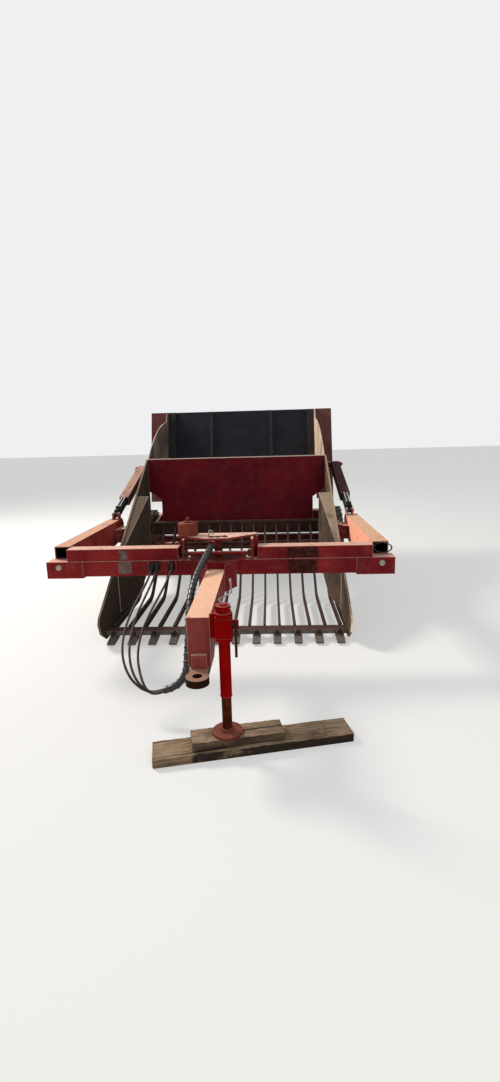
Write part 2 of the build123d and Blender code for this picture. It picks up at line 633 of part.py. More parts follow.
def wall_strip(bottom, ahead, behind_top, behind_bottom):
    """Outline in Y and Z of a strip along the back wall, from one plane before it to another."""
    return [(wall_y(bottom, ahead), bottom), (wall_y(back_top, ahead), back_top),
            (wall_y(back_top, behind_top), back_top), (wall_y(bottom, behind_bottom), bottom)]


with BuildPart() as front_plate:
    with BuildSketch(Plane.XZ.offset(-hopper_y)):
        with BuildLine():
            Polyline((-hopper_half, front_top), (-hopper_half, notch_top), (-notch_half, notch_bottom),
                     (-notch_half, front_bottom), (notch_half, front_bottom), (notch_half, notch_bottom),
                     (hopper_half, notch_top), (hopper_half, front_top), close=True)
        make_face()
    extrude(amount=sheet)
    block((sheet - hopper_half, hopper_half - sheet), (hopper_y, hopper_y + lip), (front_top - sheet, front_top))
front_plate.part.label = "front_plate"
export_step(front_plate.part, "parts/front_plate.step")

with BuildPart() as hopper:
    with BuildSketch(Plane.XZ.offset(-hopper_y)):
        with BuildLine():
            Polyline(*hopper_section(0), close=True)
        make_face()
        with BuildLine():
            Polyline(*hopper_section(sheet), close=True)
        make_face(mode=Mode.SUBTRACT)
    extrude(amount=-(rear_y - hopper_y))
    with BuildSketch(Plane.YZ.offset(-hopper_half)):
        with BuildLine():
            curve_top_y = back_top_y - curve_flat - curve_run
            Polyline((hopper_y, front_top - sheet), (hopper_y, hopper_floor), (hopper_floor_rear, hopper_floor),
                     (back_top_y, back_top), (back_top_y - curve_flat, back_top),
                     (curve_top_y, back_top - curve_drop))
            ThreePointArc((curve_top_y, back_top - curve_drop), (hopper_y + curve_y, front_top + curve_rise),
                          (hopper_y, front_top - sheet))
        make_face()
    extrude(amount=2 * hopper_half, mode=Mode.INTERSECT)
hopper.part.label = "hopper"
export_step(hopper.part, "parts/hopper.step")

with BuildPart() as back_wall:
    with BuildSketch(Plane.XZ.offset(-hopper_floor_rear)):
        with BuildLine():
            Polyline(*hopper_section(0), close=True)
        make_face()
    extrude(amount=-(rear_y - hopper_floor_rear))
    with BuildSketch(Plane.YZ.offset(-hopper_half)):
        with BuildLine():
            Polyline(*wall_strip(hopper_floor, 0, sheet, sheet), close=True)
        make_face()
    extrude(amount=2 * hopper_half, mode=Mode.INTERSECT)
back_wall.part.label = "back_wall"
export_step(back_wall.part, "parts/back_wall.step")

with BuildPart() as wall_ribs:
    for side in (-1, 1):
        side_outline(side * (rib_x - rib_width / 2), side * rib_width,
                     wall_strip(hopper_floor + rib_start, -rib_depth, 0, 0))
        side_outline(side * (hopper_half - sheet - column_width), side * column_width,
                     wall_strip(notch_top + column_start, -column_depth, 0, 0))
wall_ribs.part.label = "wall_ribs"
export_step(wall_ribs.part, "parts/wall_ribs.step")

with BuildPart() as posts:
    for side in (-1, 1):
        side_outline(side * hopper_half, side * post_width,
                     wall_strip(post_bottom, -post_lead, post_t - post_lead, post_t - post_lead))
        side_outline(side * (hopper_half + post_width), -side * post_t,
                     wall_strip(post_bottom, -post_lead, rear_y - back_top_y, post_bottom_depth))
posts.part.label = "posts"
export_step(posts.part, "parts/posts.step")

with BuildPart() as tip_lugs:
    for side in (-1, 1):
        block((side * notch_half, side * scoop_half), (tip_y - 110, tip_y + 60), (tip_z - 55, tip_z + 75))
        cross_cylinder(side * (scoop_half - 2), side * (side_outer + tip_pin_end), tip_y, tip_z, tip_pin_r)
tip_lugs.part.label = "tip_lugs"
export_step(tip_lugs.part, "parts/tip_lugs.step")

with BuildPart() as lift_bosses:
    for side in (-1, 1):
        cross_cylinder(side * hopper_half, side * (lift_x - guard_size / 2 - running_gap),
                       lift_top_y, lift_top_z, lift_top_r)
        cross_cylinder(side * hopper_half, side * (hopper_half + boss_plate_t), lift_top_y, lift_top_z,
                       boss_plate_r)
lift_bosses.part.label = "lift_bosses"
export_step(lift_bosses.part, "parts/lift_bosses.step")

# Lift cylinders

lift_length = hypot(lift_top_y - lift_pin_y, lift_top_z - lift_pin_z)
lift_direction = Vector(0, (lift_top_y - lift_pin_y) / lift_length, (lift_top_z - lift_pin_z) / lift_length)


def lift_plane(x, along):
    """Plane square to the lift cylinder, at a distance from its lower pin."""
    return Plane(origin=Vector(x, lift_pin_y, lift_pin_z) + lift_direction * along,
                 x_dir=(1, 0, 0), z_dir=lift_direction)


for side, name in ((-1, "left"), (1, "right")):
    x = side * lift_x
    with BuildPart() as barrel:
        with BuildSketch(lift_plane(x, 8)):
            Rectangle(2 * lug_eye_half, 2 * lug_eye_half)
        extrude(amount=40)
        cross_cylinder(x - lug_eye_half, x + lug_eye_half, lift_pin_y, lift_pin_z, barrel_eye_r)
        with BuildSketch(lift_plane(x, 38)):
            Circle(barrel_r)
        extrude(amount=14)
        with BuildSketch(lift_plane(x, 50)):
            Circle(barrel_r)
            Circle(barrel_bore_r, mode=Mode.SUBTRACT)
        extrude(amount=lift_length - barrel_end - 50)
        cross_cylinder(x - lug_eye_half, x + lug_eye_half, lift_pin_y, lift_pin_z, lift_pin_r + pin_clearance,
                       mode=Mode.SUBTRACT)
    barrel.part.label = f"lift_barrel_{name}"
    export_step(barrel.part, f"parts/lift_barrel_{name}.step")

    with BuildPart() as guard:
        guard_end = lift_length - guard_end_gap
        with BuildSketch(lift_plane(x, guard_start)):
            Rectangle(guard_size, guard_size)
            Rectangle(guard_size - 2 * guard_wall, guard_size - 2 * guard_wall, mode=Mode.SUBTRACT)
        extrude(amount=guard_end - guard_start)
        with BuildSketch(lift_plane(x, guard_end - 2)):
            Rectangle(guard_size, guard_size)
        extrude(amount=guard_end_t + 2)
        with BuildSketch(lift_plane(x, guard_end + 10)):
            Rectangle(guard_size, 50)
        extrude(amount=36)
        cross_cylinder(x - guard_size / 2, x + guard_size / 2, lift_top_y, lift_top_z, lift_top_r + 2)
        cross_cylinder(x - guard_size / 2, x + guard_size / 2, lift_top_y, lift_top_z, lift_top_r - 12,
                       mode=Mode.SUBTRACT)
    guard.part.label = f"lift_guard_{name}"
    export_step(guard.part, f"parts/lift_guard_{name}.step")

    with BuildPart() as rod:
        with BuildSketch(lift_plane(x, rod_start)):
            Circle(rod_r)
        extrude(amount=guard_end - 2 - rod_start)
    rod.part.label = f"lift_rod_{name}"
    export_step(rod.part, f"parts/lift_rod_{name}.step")

# Hoses: three from the beam, hanging in a loop, gathered in a sleeve that climbs to the turret

with BuildPart() as hose_sleeve:
    hose_tube(sleeve_points, sleeve_d)
hose_sleeve.part.label = "hose_sleeve"
export_step(hose_sleeve.part, "parts/hose_sleeve.step")

with BuildPart() as hose_sockets:
    for row in hose_rows:
        with BuildSketch(Plane.XZ.offset(-beam_y)):
            with Locations(row[1:3]):
                Circle(hose_d)
        extrude(amount=socket_length)
hose_sockets.part.label = "hose_sockets"
export_step(hose_sockets.part, "parts/hose_sockets.step")

for name, socket_x, socket_z, across, hanging in hose_rows:
    end = sleeve_start - hose_gather * hose_end_gap + Vector(0, across, 0)
    before_end = end - hose_gather * hose_tail
    face_y = beam_y - socket_length
    route = [(socket_x, face_y, socket_z), (socket_x, face_y - hose_lead, socket_z)]
    route += [(px, beam_y + py, pz) for px, py, pz in hanging]
    route += [tuple(before_end), tuple(end)]
    with BuildPart() as hose:
        hose_tube(route, hose_d)
    hose.part.label = f"hose_{name}"
    export_step(hose.part, f"parts/hose_{name}.step")
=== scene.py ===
import logging
import math
import random
from collections.abc import Sequence
from dataclasses import dataclass, field
from enum import Enum

import bmesh
import bpy
from mathutils import Matrix, Vector


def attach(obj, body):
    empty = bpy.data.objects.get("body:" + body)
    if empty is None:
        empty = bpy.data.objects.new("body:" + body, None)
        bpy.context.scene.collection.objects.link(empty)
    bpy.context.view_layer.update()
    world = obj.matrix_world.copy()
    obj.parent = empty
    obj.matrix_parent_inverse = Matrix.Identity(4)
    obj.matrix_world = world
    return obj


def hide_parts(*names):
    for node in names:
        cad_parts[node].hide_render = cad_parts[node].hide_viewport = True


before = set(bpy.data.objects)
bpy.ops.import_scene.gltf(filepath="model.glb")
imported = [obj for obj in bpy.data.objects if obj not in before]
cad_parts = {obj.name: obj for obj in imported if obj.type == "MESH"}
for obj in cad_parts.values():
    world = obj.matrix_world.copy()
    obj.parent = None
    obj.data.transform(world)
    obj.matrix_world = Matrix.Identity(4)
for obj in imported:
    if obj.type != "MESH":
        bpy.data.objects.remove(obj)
LOG = logging.getLogger("stone_picker")

Colour = tuple[float, float, float]
Socket = bpy.types.NodeSocket
Tint = Colour | Socket

UP = Vector((0, 0, 1))
FRONT = Vector((0, -1, 0))
ACROSS = Vector((1, 0, 0))
HEXAGON = 6

PLANK_LENGTH = 1.066
PLANK_WIDTH = 0.165
PLANK_ANGLE = math.radians(12.7)
PLANK_AHEAD = 1.057
REAR_REACH = 3.605
FRONT_REACH = PLANK_AHEAD + (PLANK_LENGTH * math.sin(PLANK_ANGLE) + PLANK_WIDTH * math.cos(PLANK_ANGLE)) / 2
# Y of the front face of the front beam, from which every place in this file is measured
BEAM_Y = (FRONT_REACH - REAR_REACH) / 2


class Body(Enum):
    """Bodies of the machine that a piece can ride on."""

    FRAME = "frame"
    DRAWBAR = "drawbar"
    JACK_LEG = "jack_leg"
    BUCKET = "bucket"
    WHEEL_LEFT = "wheel_left"
    WHEEL_RIGHT = "wheel_right"
    BARREL_LEFT = "lift_barrel_left"
    BARREL_RIGHT = "lift_barrel_right"
    GUARD_LEFT = "lift_guard_left"
    GUARD_RIGHT = "lift_guard_right"


class Side(Enum):
    """Left or right of the machine, with the sign of X there."""

    LEFT = -1
    RIGHT = 1

    @property
    def label(self) -> str:
        """The side's name as it ends a piece's name."""
        return self.name.lower()

    def body(self, kind: str) -> Body:
        """The body of a kind, such as "wheel", that stands on this side."""
        return Body(f"{kind}_{self.label}")


def at(x: float, y: float, z: float) -> Vector:
    """Point from X, the distance behind the beam's front face, and Z, all in metres."""
    return Vector((x, BEAM_Y + y, z))


def aside(distance: float) -> Vector:
    """Step along X, in metres."""
    return Vector((distance, 0, 0))


def shade(colour: Colour, share: float) -> Colour:
    """The colour with its three values multiplied by a share."""
    return tuple(share * value for value in colour)


def placed(name: str, data: bpy.types.ID) -> bpy.types.Object:
    """Put data in the scene as an object.

    Args:
        name: Name of the object.
        data: Its mesh, curve, lamp or camera.

    Returns:
        The new object.
    """
    item = bpy.data.objects.new(name, data)
    bpy.context.scene.collection.objects.link(item)
    return item


class Recipe:
    """Node tree of one finish, put together socket by socket."""

    def __init__(self, name: str, roughness: float, metallic: float = 0.0, gloss: float = 0.15) -> None:
        """Start a material.

        Args:
            name: Name of the material.
            roughness: Plain roughness of the shader.
            metallic: Plain metallic value of the shader.
            gloss: Specular level of the shader.
        """
        self.material = bpy.data.materials.new(name)
        self.material.use_nodes = True
        self.nodes = self.material.node_tree.nodes
        self.shader = self.nodes["Principled BSDF"]
        self.shader.inputs["Roughness"].default_value = roughness
        self.shader.inputs["Metallic"].default_value = metallic
        self.shader.inputs["Specular IOR Level"].default_value = gloss
        self.place = self.add("ShaderNodeTexCoord")

    def add(self, kind: str, **settings: object) -> bpy.types.Node:
        """Add a node.

        Args:
            kind: Blender's name of the node's type.
            **settings: Attributes to set on the node.

        Returns:
            The new node.
        """
        node = self.nodes.new(kind)
        for name, value in settings.items():
            setattr(node, name, value)
        return node

    def link(self, source: Socket, target: Socket) -> None:
        """Join an output to an input."""
        self.material.node_tree.links.new(source, target)

    def stretched(self, scale: tuple[float, float, float], turn: float = 0.0) -> Socket:
        """Object coordinates, turned about Z and stretched.

        Args:
            scale: Factor along each axis.
            turn: Turn about Z in radians, before the stretch.

        Returns:
            The mapped coordinates.
        """
        mapping = self.add("ShaderNodeMapping", vector_type="TEXTURE")
        self.link(self.place.outputs["Object"], mapping.inputs["Vector"])
        mapping.inputs["Rotation"].default_value = (0, 0, turn)
        mapping.inputs["Scale"].default_value = tuple(1 / factor for factor in scale)
        return mapping.outputs["Vector"]

    def noise(self, size: float, detail: float, rough: float, along: Socket | None = None) -> Socket:
        """Cloudy noise.

        Args:
            size: Size of the blotches in metres.
            detail: Number of finer layers.
            rough: Weight of the finer layers.
            along: Coordinates to use in place of the object's own.

        Returns:
            The noise value, 0 to 1.
        """
        node = self.add("ShaderNodeTexNoise")
        node.inputs["Scale"].default_value = 1 / size
        node.inputs["Detail"].default_value = detail
        node.inputs["Roughness"].default_value = rough
        self.link(along or self.place.outputs["Object"], node.inputs["Vector"])
        return node.outputs["Fac"]

    def step(self, value: Socket, low: float, high: float) -> Socket:
        """Rise from 0 to 1 as a value goes from low to high.

        Args:
            value: The value.
            low: Where the rise begins.
            high: Where it ends. Below low, the rise runs the other way.

        Returns:
            The new value.
        """
        node = self.add("ShaderNodeMapRange", interpolation_type="SMOOTHSTEP")
        node.inputs["From Min"].default_value = low
        node.inputs["From Max"].default_value = high
        self.link(value, node.inputs["Value"])
        return node.outputs["Result"]

    def math(self, operation: str, a: Socket, b: Socket | float = 0.0) -> Socket:
        """Arithmetic on a value and a number or another value.

        Args:
            operation: Blender's name of the operation.
            a: First value.
            b: Second value, a socket or a number.

        Returns:
            The result.
        """
        node = self.add("ShaderNodeMath", operation=operation)
        self.link(a, node.inputs[0])
        if isinstance(b, (int, float)):
            node.inputs[1].default_value = b
        else:
            self.link(b, node.inputs[1])
        return node.outputs["Value"]

    def times(self, a: Socket, b: Socket | float) -> Socket:
        """Product of a value and a number or another value."""
        return self.math("MULTIPLY", a, b)

    def plus(self, a: Socket, b: Socket | float) -> Socket:
        """Sum of a value and a number or another value."""
        return self.math("ADD", a, b)

    def blend(self, share: Socket, under: Tint, over: Tint) -> Socket:
        """Lay one colour over another.

        Args:
            share: How much of the upper colour shows.
            under: Lower colour, a socket or three numbers.
            over: Upper colour, a socket or three numbers.

        Returns:
            The blended colour.
        """
        node = self.add("ShaderNodeMix", data_type="RGBA")
        self.link(share, node.inputs["Factor"])
        # a Mix node holds its two colours at sockets 6 and 7, and gives the result at output 2
        for colour, name in ((under, 6), (over, 7)):
            if isinstance(colour, tuple):
                node.inputs[name].default_value = (*colour, 1)
            else:
                self.link(colour, node.inputs[name])
        return node.outputs[2]

    def along(self, output: str, axis: str) -> Socket:
        """One axis of a vector that the Texture Coordinate node gives.

        Args:
            output: Name of the node's output.
            axis: X, Y or Z.

        Returns:
            The value along the axis.
        """
        split = self.add("ShaderNodeSeparateXYZ")
        self.link(self.place.outputs[output], split.inputs["Vector"])
        return split.outputs[axis]

    def facing(self, axis: str = "Z") -> Socket:
        """How far the surface faces along an axis of the machine's own frame, -1 to 1."""
        return self.along("Normal", axis)

    def spot(self, axis: str) -> Socket:
        """Place of a point along an axis of the machine's own frame at rest, in metres."""
        return self.along("Object", axis)

    def edges(self, reach: float, share: float) -> Socket:
        """Wear, and painted highlights, that follow sharp edges.

        Args:
            reach: How far the wear reaches from an edge, in metres.
            share: Most of the upper colour that shows.

        Returns:
            The share, 0 on the flat.
        """
        rounded = self.add("ShaderNodeBevel", samples=4)
        rounded.inputs["Radius"].default_value = reach
        flat = self.add("ShaderNodeNewGeometry")
        turn = self.add("ShaderNodeVectorMath", operation="DOT_PRODUCT")
        self.link(rounded.outputs["Normal"], turn.inputs[0])
        self.link(flat.outputs["Normal"], turn.inputs[1])
        return self.times(self.step(turn.outputs["Value"], 0.99, 0.88), share)

    def within(self, low: tuple[float, float], high: tuple[float, float]) -> Socket:
        """Whether a point lies inside a band of X, the same on both sides, and of Z.

        Args:
            low: Lowest X and Z.
            high: Highest X and Z.

        Returns:
            1 inside, 0 outside.
        """
        sides = (self.math("ABSOLUTE", self.spot("X")), self.spot("Z"))
        bands = [self.times(self.math("GREATER_THAN", value, least), self.math("LESS_THAN", value, most))
                 for value, least, most in zip(sides, low, high)]
        return self.times(*bands)

    def finish(self, colour: Socket, bumps: Socket, strength: float, depth: float,
               roughness: Socket | None = None) -> bpy.types.Material:
        """Wire colour, bump and roughness to the shader.

        Args:
            colour: Base colour.
            bumps: Height of the surface.
            strength: Strength of the bump.
            depth: Depth of the bump in metres.
            roughness: Roughness where it varies.

        Returns:
            The finished material.
        """
        bump = self.add("ShaderNodeBump")
        bump.inputs["Strength"].default_value = strength
        bump.inputs["Distance"].default_value = depth
        self.link(bumps, bump.inputs["Height"])
        self.link(bump.outputs["Normal"], self.shader.inputs["Normal"])
        self.link(colour, self.shader.inputs["Base Color"])
        if roughness is not None:
            self.link(roughness, self.shader.inputs["Roughness"])
        return self.material


@dataclass(frozen=True)
class Paint:
    """Old machine paint: bleached where it faces up, with painted sunlight there, chipped, streaked and
    dusty.

    Attributes:
        name: Name of the material.
        body: Colour of the paint on upright faces.
        deep: Colour in the blotches that kept their depth.
        bleach_and_top_light: Colour of faces turned up: bleached paint with painted sunlight, and painted
            shade where it is dark.
        rust: Colour under the chips.
        edge: Colour of the worn edges; on the drawbar it is also a painted highlight.
        chips: Share of the surface that is chipped.
        fleck: Palest colour in the chips.
        grit: How much darker the grain of the faces turned up is.
        dust: How much dust lies on it.
        wear: How much the edges are worn.
        side: How far faces turned to the left carry painted sunlight.
        lit: Colour of that painted sunlight.
        gloss: Specular level.
        inside: Lowest X and Z and highest X and Z of a band that has another colour.
        other: Colour of that band.
        other_top: Colour of its faces turned up.
    """

    name: str
    body: Colour = (0.215, 0.012, 0.012)
    deep: Colour = (0.135, 0.005, 0.008)
    bleach_and_top_light: Colour = (0.56, 0.31, 0.23)
    rust: Colour = (0.055, 0.022, 0.014)
    edge: Colour = (0.42, 0.24, 0.18)
    chips: float = 0.30
    fleck: Colour = (0.16, 0.085, 0.06)
    grit: float = 0.72
    dust: float = 0.08
    wear: float = 0.55
    side: float = 0.0
    lit: Colour = (0.56, 0.31, 0.23)
    gloss: float = 0.08
    inside: tuple[tuple[float, float], tuple[float, float]] | None = None
    other: Colour = (0.004, 0.004, 0.004)
    other_top: Colour = (0.004, 0.004, 0.004)

    def material(self) -> bpy.types.Material:
        """Make the paint's material.

        Returns:
            The material.
        """
        recipe = Recipe(self.name, 0.55, gloss=self.gloss)
        clouds = recipe.noise(0.35, 5, 0.6)
        grain = recipe.noise(0.012, 5, 0.65)
        colour = self.upright(recipe, clouds)
        # faces turned up: bleached paint with painted sunlight
        sunlit_top = recipe.step(recipe.plus(recipe.facing(), recipe.times(clouds, 0.5)), 0.85, 1.2)
        bleach_and_top_light = recipe.blend(recipe.step(grain, 0.35, 0.7), self.bleach_and_top_light, shade(self.bleach_and_top_light, self.grit))
        colour = recipe.blend(sunlit_top, colour, bleach_and_top_light)
        # dust, and chips down to the rust
        dust = recipe.times(recipe.step(recipe.noise(0.08, 6, 0.7), 0.48, 0.75), self.dust)
        colour = recipe.blend(dust, colour, (0.36, 0.25, 0.19))
        flaking = recipe.plus(recipe.noise(0.028, 6, 0.75), recipe.times(clouds, 0.35))
        chips = recipe.step(flaking, 0.86 - 0.28 * self.chips, 0.90 - 0.28 * self.chips)
        colour = recipe.blend(chips, colour, recipe.blend(grain, self.rust, self.fleck))
        # edges rubbed pale, and on the drawbar painted highlights
        worn = recipe.times(recipe.edges(0.006, self.wear), recipe.step(grain, 0.25, 0.6))
        colour = recipe.blend(worn, colour, self.edge)
        if self.inside:
            other = recipe.blend(recipe.step(recipe.facing(), 0.4, 0.9), self.other, self.other_top)
            colour = recipe.blend(recipe.within(*self.inside), colour, other)
        bumps = recipe.math("SUBTRACT", recipe.times(grain, 0.4), chips)
        rough = recipe.plus(recipe.times(clouds, 0.3), 0.38)
        return recipe.finish(colour, bumps, 0.35, 0.002, rough)

    def upright(self, recipe: Recipe, clouds: Socket) -> Socket:
        """Colour of the upright faces, with blotches, rain streaks and painted sunlight on faces turned to
        the left.

        Args:
            recipe: Node tree of the finish.
            clouds: Noise of the blotches.

        Returns:
            The colour.
        """
        streaks = recipe.noise(0.05, 3, 0.5, recipe.stretched((1, 1, 0.12)))
        colour = recipe.blend(recipe.step(clouds, 0.40, 0.62), self.deep, self.body)
        rain = recipe.times(recipe.step(streaks, 0.52, 0.75), 0.4)
        colour = recipe.blend(rain, colour, shade(self.deep, 0.55))
        if self.side:
            # faces turned to the left: painted sunlight
            left = recipe.times(recipe.step(recipe.facing("X"), -0.6, -0.95), self.side)
            colour = recipe.blend(left, colour, self.lit)
        return colour


@dataclass(frozen=True)
class Mud:
    """Paint under a coat of dried mud in blotches.

    Attributes:
        name: Name of the material.
        mud: Colour of the dried mud.
        pale: Colour where it is thin and dusty.
        dried: Colour of dry mud, also used for painted sunlight on faces turned up and on the right side's
            inner faces.
        edge: Colour of the edges.
        paint: Colour of the paint that still shows.
        showing: Share of the surface where the paint shows.
        lit: How far the right side's inner faces, turned to the left, carry painted sunlight.
        left_shade: How far the left side is darker, as painted shade.
        rim: Colour of painted sunlight on the right side's edges that face the front.
    """

    name: str
    mud: Colour = (0.036, 0.024, 0.017)
    pale: Colour = (0.112, 0.073, 0.047)
    dried: Colour = (0.36, 0.27, 0.19)
    edge: Colour = (0.58, 0.45, 0.32)
    paint: Colour = (0.11, 0.020, 0.018)
    showing: float = 0.25
    lit: float = 0.0
    left_shade: float = 0.62
    rim: Colour = (0.86, 0.68, 0.50)

    def material(self) -> bpy.types.Material:
        """Make the mud's material.

        Returns:
            The material.
        """
        recipe = Recipe(self.name, 0.88)
        clouds = recipe.noise(0.30, 6, 0.62)
        grain = recipe.noise(0.018, 7, 0.7)
        colour = self.coat(recipe, clouds, grain)
        # faces turned up are dry and painted sunlit, and the right side's inner faces carry painted sunlight
        sunlit_top = recipe.times(recipe.step(recipe.facing(), 0.35, 0.9), 0.85)
        patchy = recipe.times(recipe.step(grain, 0.2, 0.5), recipe.step(clouds, 0.28, 0.55))
        colour = recipe.blend(recipe.times(sunlit_top, patchy), colour, self.dried)
        inner = recipe.times(recipe.step(recipe.facing("X"), -0.45, -0.95),
                             recipe.step(recipe.spot("X"), 0.3, 0.6))
        inner = recipe.times(recipe.times(inner, recipe.step(clouds, 0.25, 0.55)), self.lit)
        colour = recipe.blend(inner, colour, self.dried)
        # pits, painted shade on the left side, and pale specks
        pits = recipe.times(recipe.step(recipe.noise(0.016, 4, 0.7), 0.56, 0.66), 0.7)
        colour = recipe.blend(pits, colour, self.mud)
        left_shade = recipe.times(recipe.step(recipe.spot("X"), -0.3, -0.6), self.left_shade)
        colour = recipe.blend(left_shade, colour, self.mud)
        specks = recipe.times(recipe.step(recipe.noise(0.007, 3, 0.6), 0.60, 0.68), 0.45)
        colour = recipe.blend(specks, colour, self.dried)
        # edges, and painted sunlight on the right side's edges that face the front
        colour = recipe.blend(recipe.edges(0.008, 0.85), colour, self.edge)
        rim = recipe.times(recipe.step(recipe.facing("Y"), -0.75, -0.93),
                           recipe.step(recipe.spot("X"), 0.90, 0.93))
        colour = recipe.blend(recipe.times(rim, recipe.step(grain, 0.2, 0.45)), colour, self.rim)
        return recipe.finish(colour, recipe.plus(grain, recipe.times(clouds, 1.5)), 0.5, 0.004)

    def coat(self, recipe: Recipe, clouds: Socket, grain: Socket) -> Socket:
        """Colour of the mud, with runs down it and the paint that still shows.

        Args:
            recipe: Node tree of the finish.
            clouds: Noise of the blotches.
            grain: Noise of the mud's grain.

        Returns:
            The colour.
        """
        runs = recipe.noise(0.06, 5, 0.6, recipe.stretched((1, 1, 0.18)))
        colour = recipe.blend(recipe.step(clouds, 0.38, 0.66), self.mud, self.pale)
        grains = recipe.times(recipe.step(grain, 0.45, 0.72), 0.55)
        colour = recipe.blend(grains, colour, shade(self.mud, 0.5))
        colour = recipe.blend(recipe.times(recipe.step(runs, 0.5, 0.72), 0.5), colour, shade(self.pale, 1.15))
        thin = recipe.plus(recipe.noise(0.10, 6, 0.72), recipe.times(runs, 0.3))
        bare = recipe.step(thin, 0.86 - 0.35 * self.showing, 0.93 - 0.35 * self.showing)
        return recipe.blend(bare, colour, self.paint)


@dataclass(frozen=True)
class Steel:
    """Bare steel: rusty, or worn grey where soil polishes it.

    Attributes:
        name: Name of the material.
        base: Main colour.
        second: Colour of the blotches.
        metallic: How metallic it looks.
        roughness: Plain roughness.
        blotch: Size of the blotches in metres.
        top_wear: How far the faces turned up have their own colour.
        top: That colour.
        edge: How far the edges are worn pale.
        gloss: Specular level.
        thrown: How far faces to the rear carry mud thrown up by the wheels.
    """

    name: str
    base: Colour
    second: Colour
    metallic: float = 0.3
    roughness: float = 0.6
    blotch: float = 0.05
    top_wear: float = 0.0
    top: Colour = (0.24, 0.20, 0.17)
    edge: float = 0.0
    gloss: float = 0.15
    thrown: float = 0.0

    def material(self) -> bpy.types.Material:
        """Make the steel's material.

        Returns:
            The material.
        """
        recipe = Recipe(self.name, self.roughness, self.metallic, self.gloss)
        blotches = recipe.noise(self.blotch, 6, 0.65)
        grain = recipe.noise(0.008, 5, 0.7)
        colour = recipe.blend(recipe.step(blotches, 0.38, 0.65), self.base, self.second)
        grains = recipe.times(recipe.step(grain, 0.5, 0.7), 0.35)
        colour = recipe.blend(grains, colour, shade(self.base, 0.4))
        worn = recipe.times(recipe.step(recipe.facing(), 0.4, 0.95), self.top_wear)
        colour = recipe.blend(worn, colour, self.top)
        if self.edge:
            colour = recipe.blend(recipe.edges(0.004, self.edge), colour, (0.34, 0.29, 0.24))
        if self.thrown:
            rear = recipe.times(recipe.step(recipe.facing("Y"), 0.3, 0.8), self.thrown)
            low = recipe.times(rear, recipe.step(recipe.spot("Z"), 1.7, 0.5))
            splashes = recipe.step(recipe.noise(0.07, 8, 0.8), 0.32, 0.72)
            colour = recipe.blend(recipe.times(low, splashes), colour, (0.095, 0.070, 0.053))
        return recipe.finish(colour, recipe.plus(grain, blotches), 0.4, 0.002)


@dataclass(frozen=True)
class Rubber:
    """Rubber of hoses and tyres, with dust in the hollows and on top.

    Attributes:
        name: Name of the material.
        base: Colour of the clean rubber.
        dust: Colour of the dust.
        dusty: How much dust lies on it.
        roughness: Plain roughness.
        gloss: Specular level.
    """

    name: str
    base: Colour = (0.014, 0.013, 0.013)
    dust: Colour = (0.20, 0.15, 0.12)
    dusty: float = 0.4
    roughness: float = 0.5
    gloss: float = 0.15

    def material(self) -> bpy.types.Material:
        """Make the rubber's material.

        Returns:
            The material.
        """
        recipe = Recipe(self.name, self.roughness, gloss=self.gloss)
        hollows = recipe.times(recipe.step(recipe.noise(0.05, 5, 0.65), 0.42, 0.75), self.dusty)
        top = recipe.times(recipe.step(recipe.facing(), 0.3, 1.0), 0.45 * self.dusty)
        colour = recipe.blend(recipe.plus(hollows, top), self.base, self.dust)
        return recipe.finish(colour, recipe.noise(0.006, 4, 0.6), 0.3, 0.001)


@dataclass(frozen=True)
class Timber:
    """Weathered softwood with grain along a turned axis, checks and dirt, with painted sunlight on top and
    painted shadow on the front faces.

    Attributes:
        name: Name of the material.
        turn: Angle of the grain from X, in radians.
        pale: Colour of the early wood.
        dark: Colour of the grain.
        dry_and_sunlit: Colour of the faces turned up, sun-dried wood with painted sunlight.
        front_shadow: Colour of painted shadow on the faces to the front.
        check: Colour in the checks.
    """

    name: str
    turn: float
    pale: Colour = (0.235, 0.155, 0.092)
    dark: Colour = (0.075, 0.045, 0.026)
    dry_and_sunlit: Colour = (0.50, 0.355, 0.235)
    front_shadow: Colour = (0.014, 0.008, 0.005)
    check: Colour = (0.03, 0.022, 0.016)

    def material(self) -> bpy.types.Material:
        """Make the timber's material.

        Returns:
            The material.
        """
        recipe = Recipe(self.name, 0.85)
        along = recipe.stretched((0.07, 1, 1), self.turn)
        grain = recipe.noise(0.011, 6, 0.6, along)
        rings = recipe.noise(0.035, 3, 0.5, along)
        stains = recipe.noise(0.12, 5, 0.6)
        colour = recipe.blend(recipe.step(grain, 0.38, 0.64), self.pale, self.dark)
        colour = recipe.blend(recipe.times(recipe.step(rings, 0.5, 0.7), 0.45), colour, shade(self.pale, 0.8))
        colour = recipe.blend(recipe.times(recipe.step(stains, 0.48, 0.7), 0.6), colour, (0.13, 0.10, 0.08))
        # tops bleached and painted sunlit in patches
        patches = recipe.step(recipe.noise(0.16, 5, 0.65), 0.36, 0.58)
        dry_and_sunlit = recipe.times(recipe.times(recipe.step(recipe.facing(), 0.5, 0.9), patches), 0.42)
        colour = recipe.blend(dry_and_sunlit, colour, recipe.blend(recipe.step(grain, 0.40, 0.66), self.dry_and_sunlit, self.pale))
        # front faces darker to the right, and more so on the lower plank: painted shadow
        front_shadow = recipe.times(recipe.step(recipe.facing("Y"), -0.5, -0.9), 0.93)
        front_shadow = recipe.times(front_shadow, recipe.step(recipe.plus(recipe.spot("X"), stains), 0.46, 0.62))
        low = recipe.times(recipe.step(recipe.spot("Z"), 0.056, 0.046), 0.4)
        colour = recipe.blend(recipe.times(front_shadow, recipe.plus(low, 0.6)), colour, self.front_shadow)
        cracks = recipe.noise(0.02, 2, 0.4, recipe.stretched((0.03, 1, 1), self.turn))
        checks = recipe.step(cracks, 0.63, 0.67)
        colour = recipe.blend(checks, colour, self.check)
        return recipe.finish(colour, recipe.math("SUBTRACT", grain, checks), 0.6, 0.003)


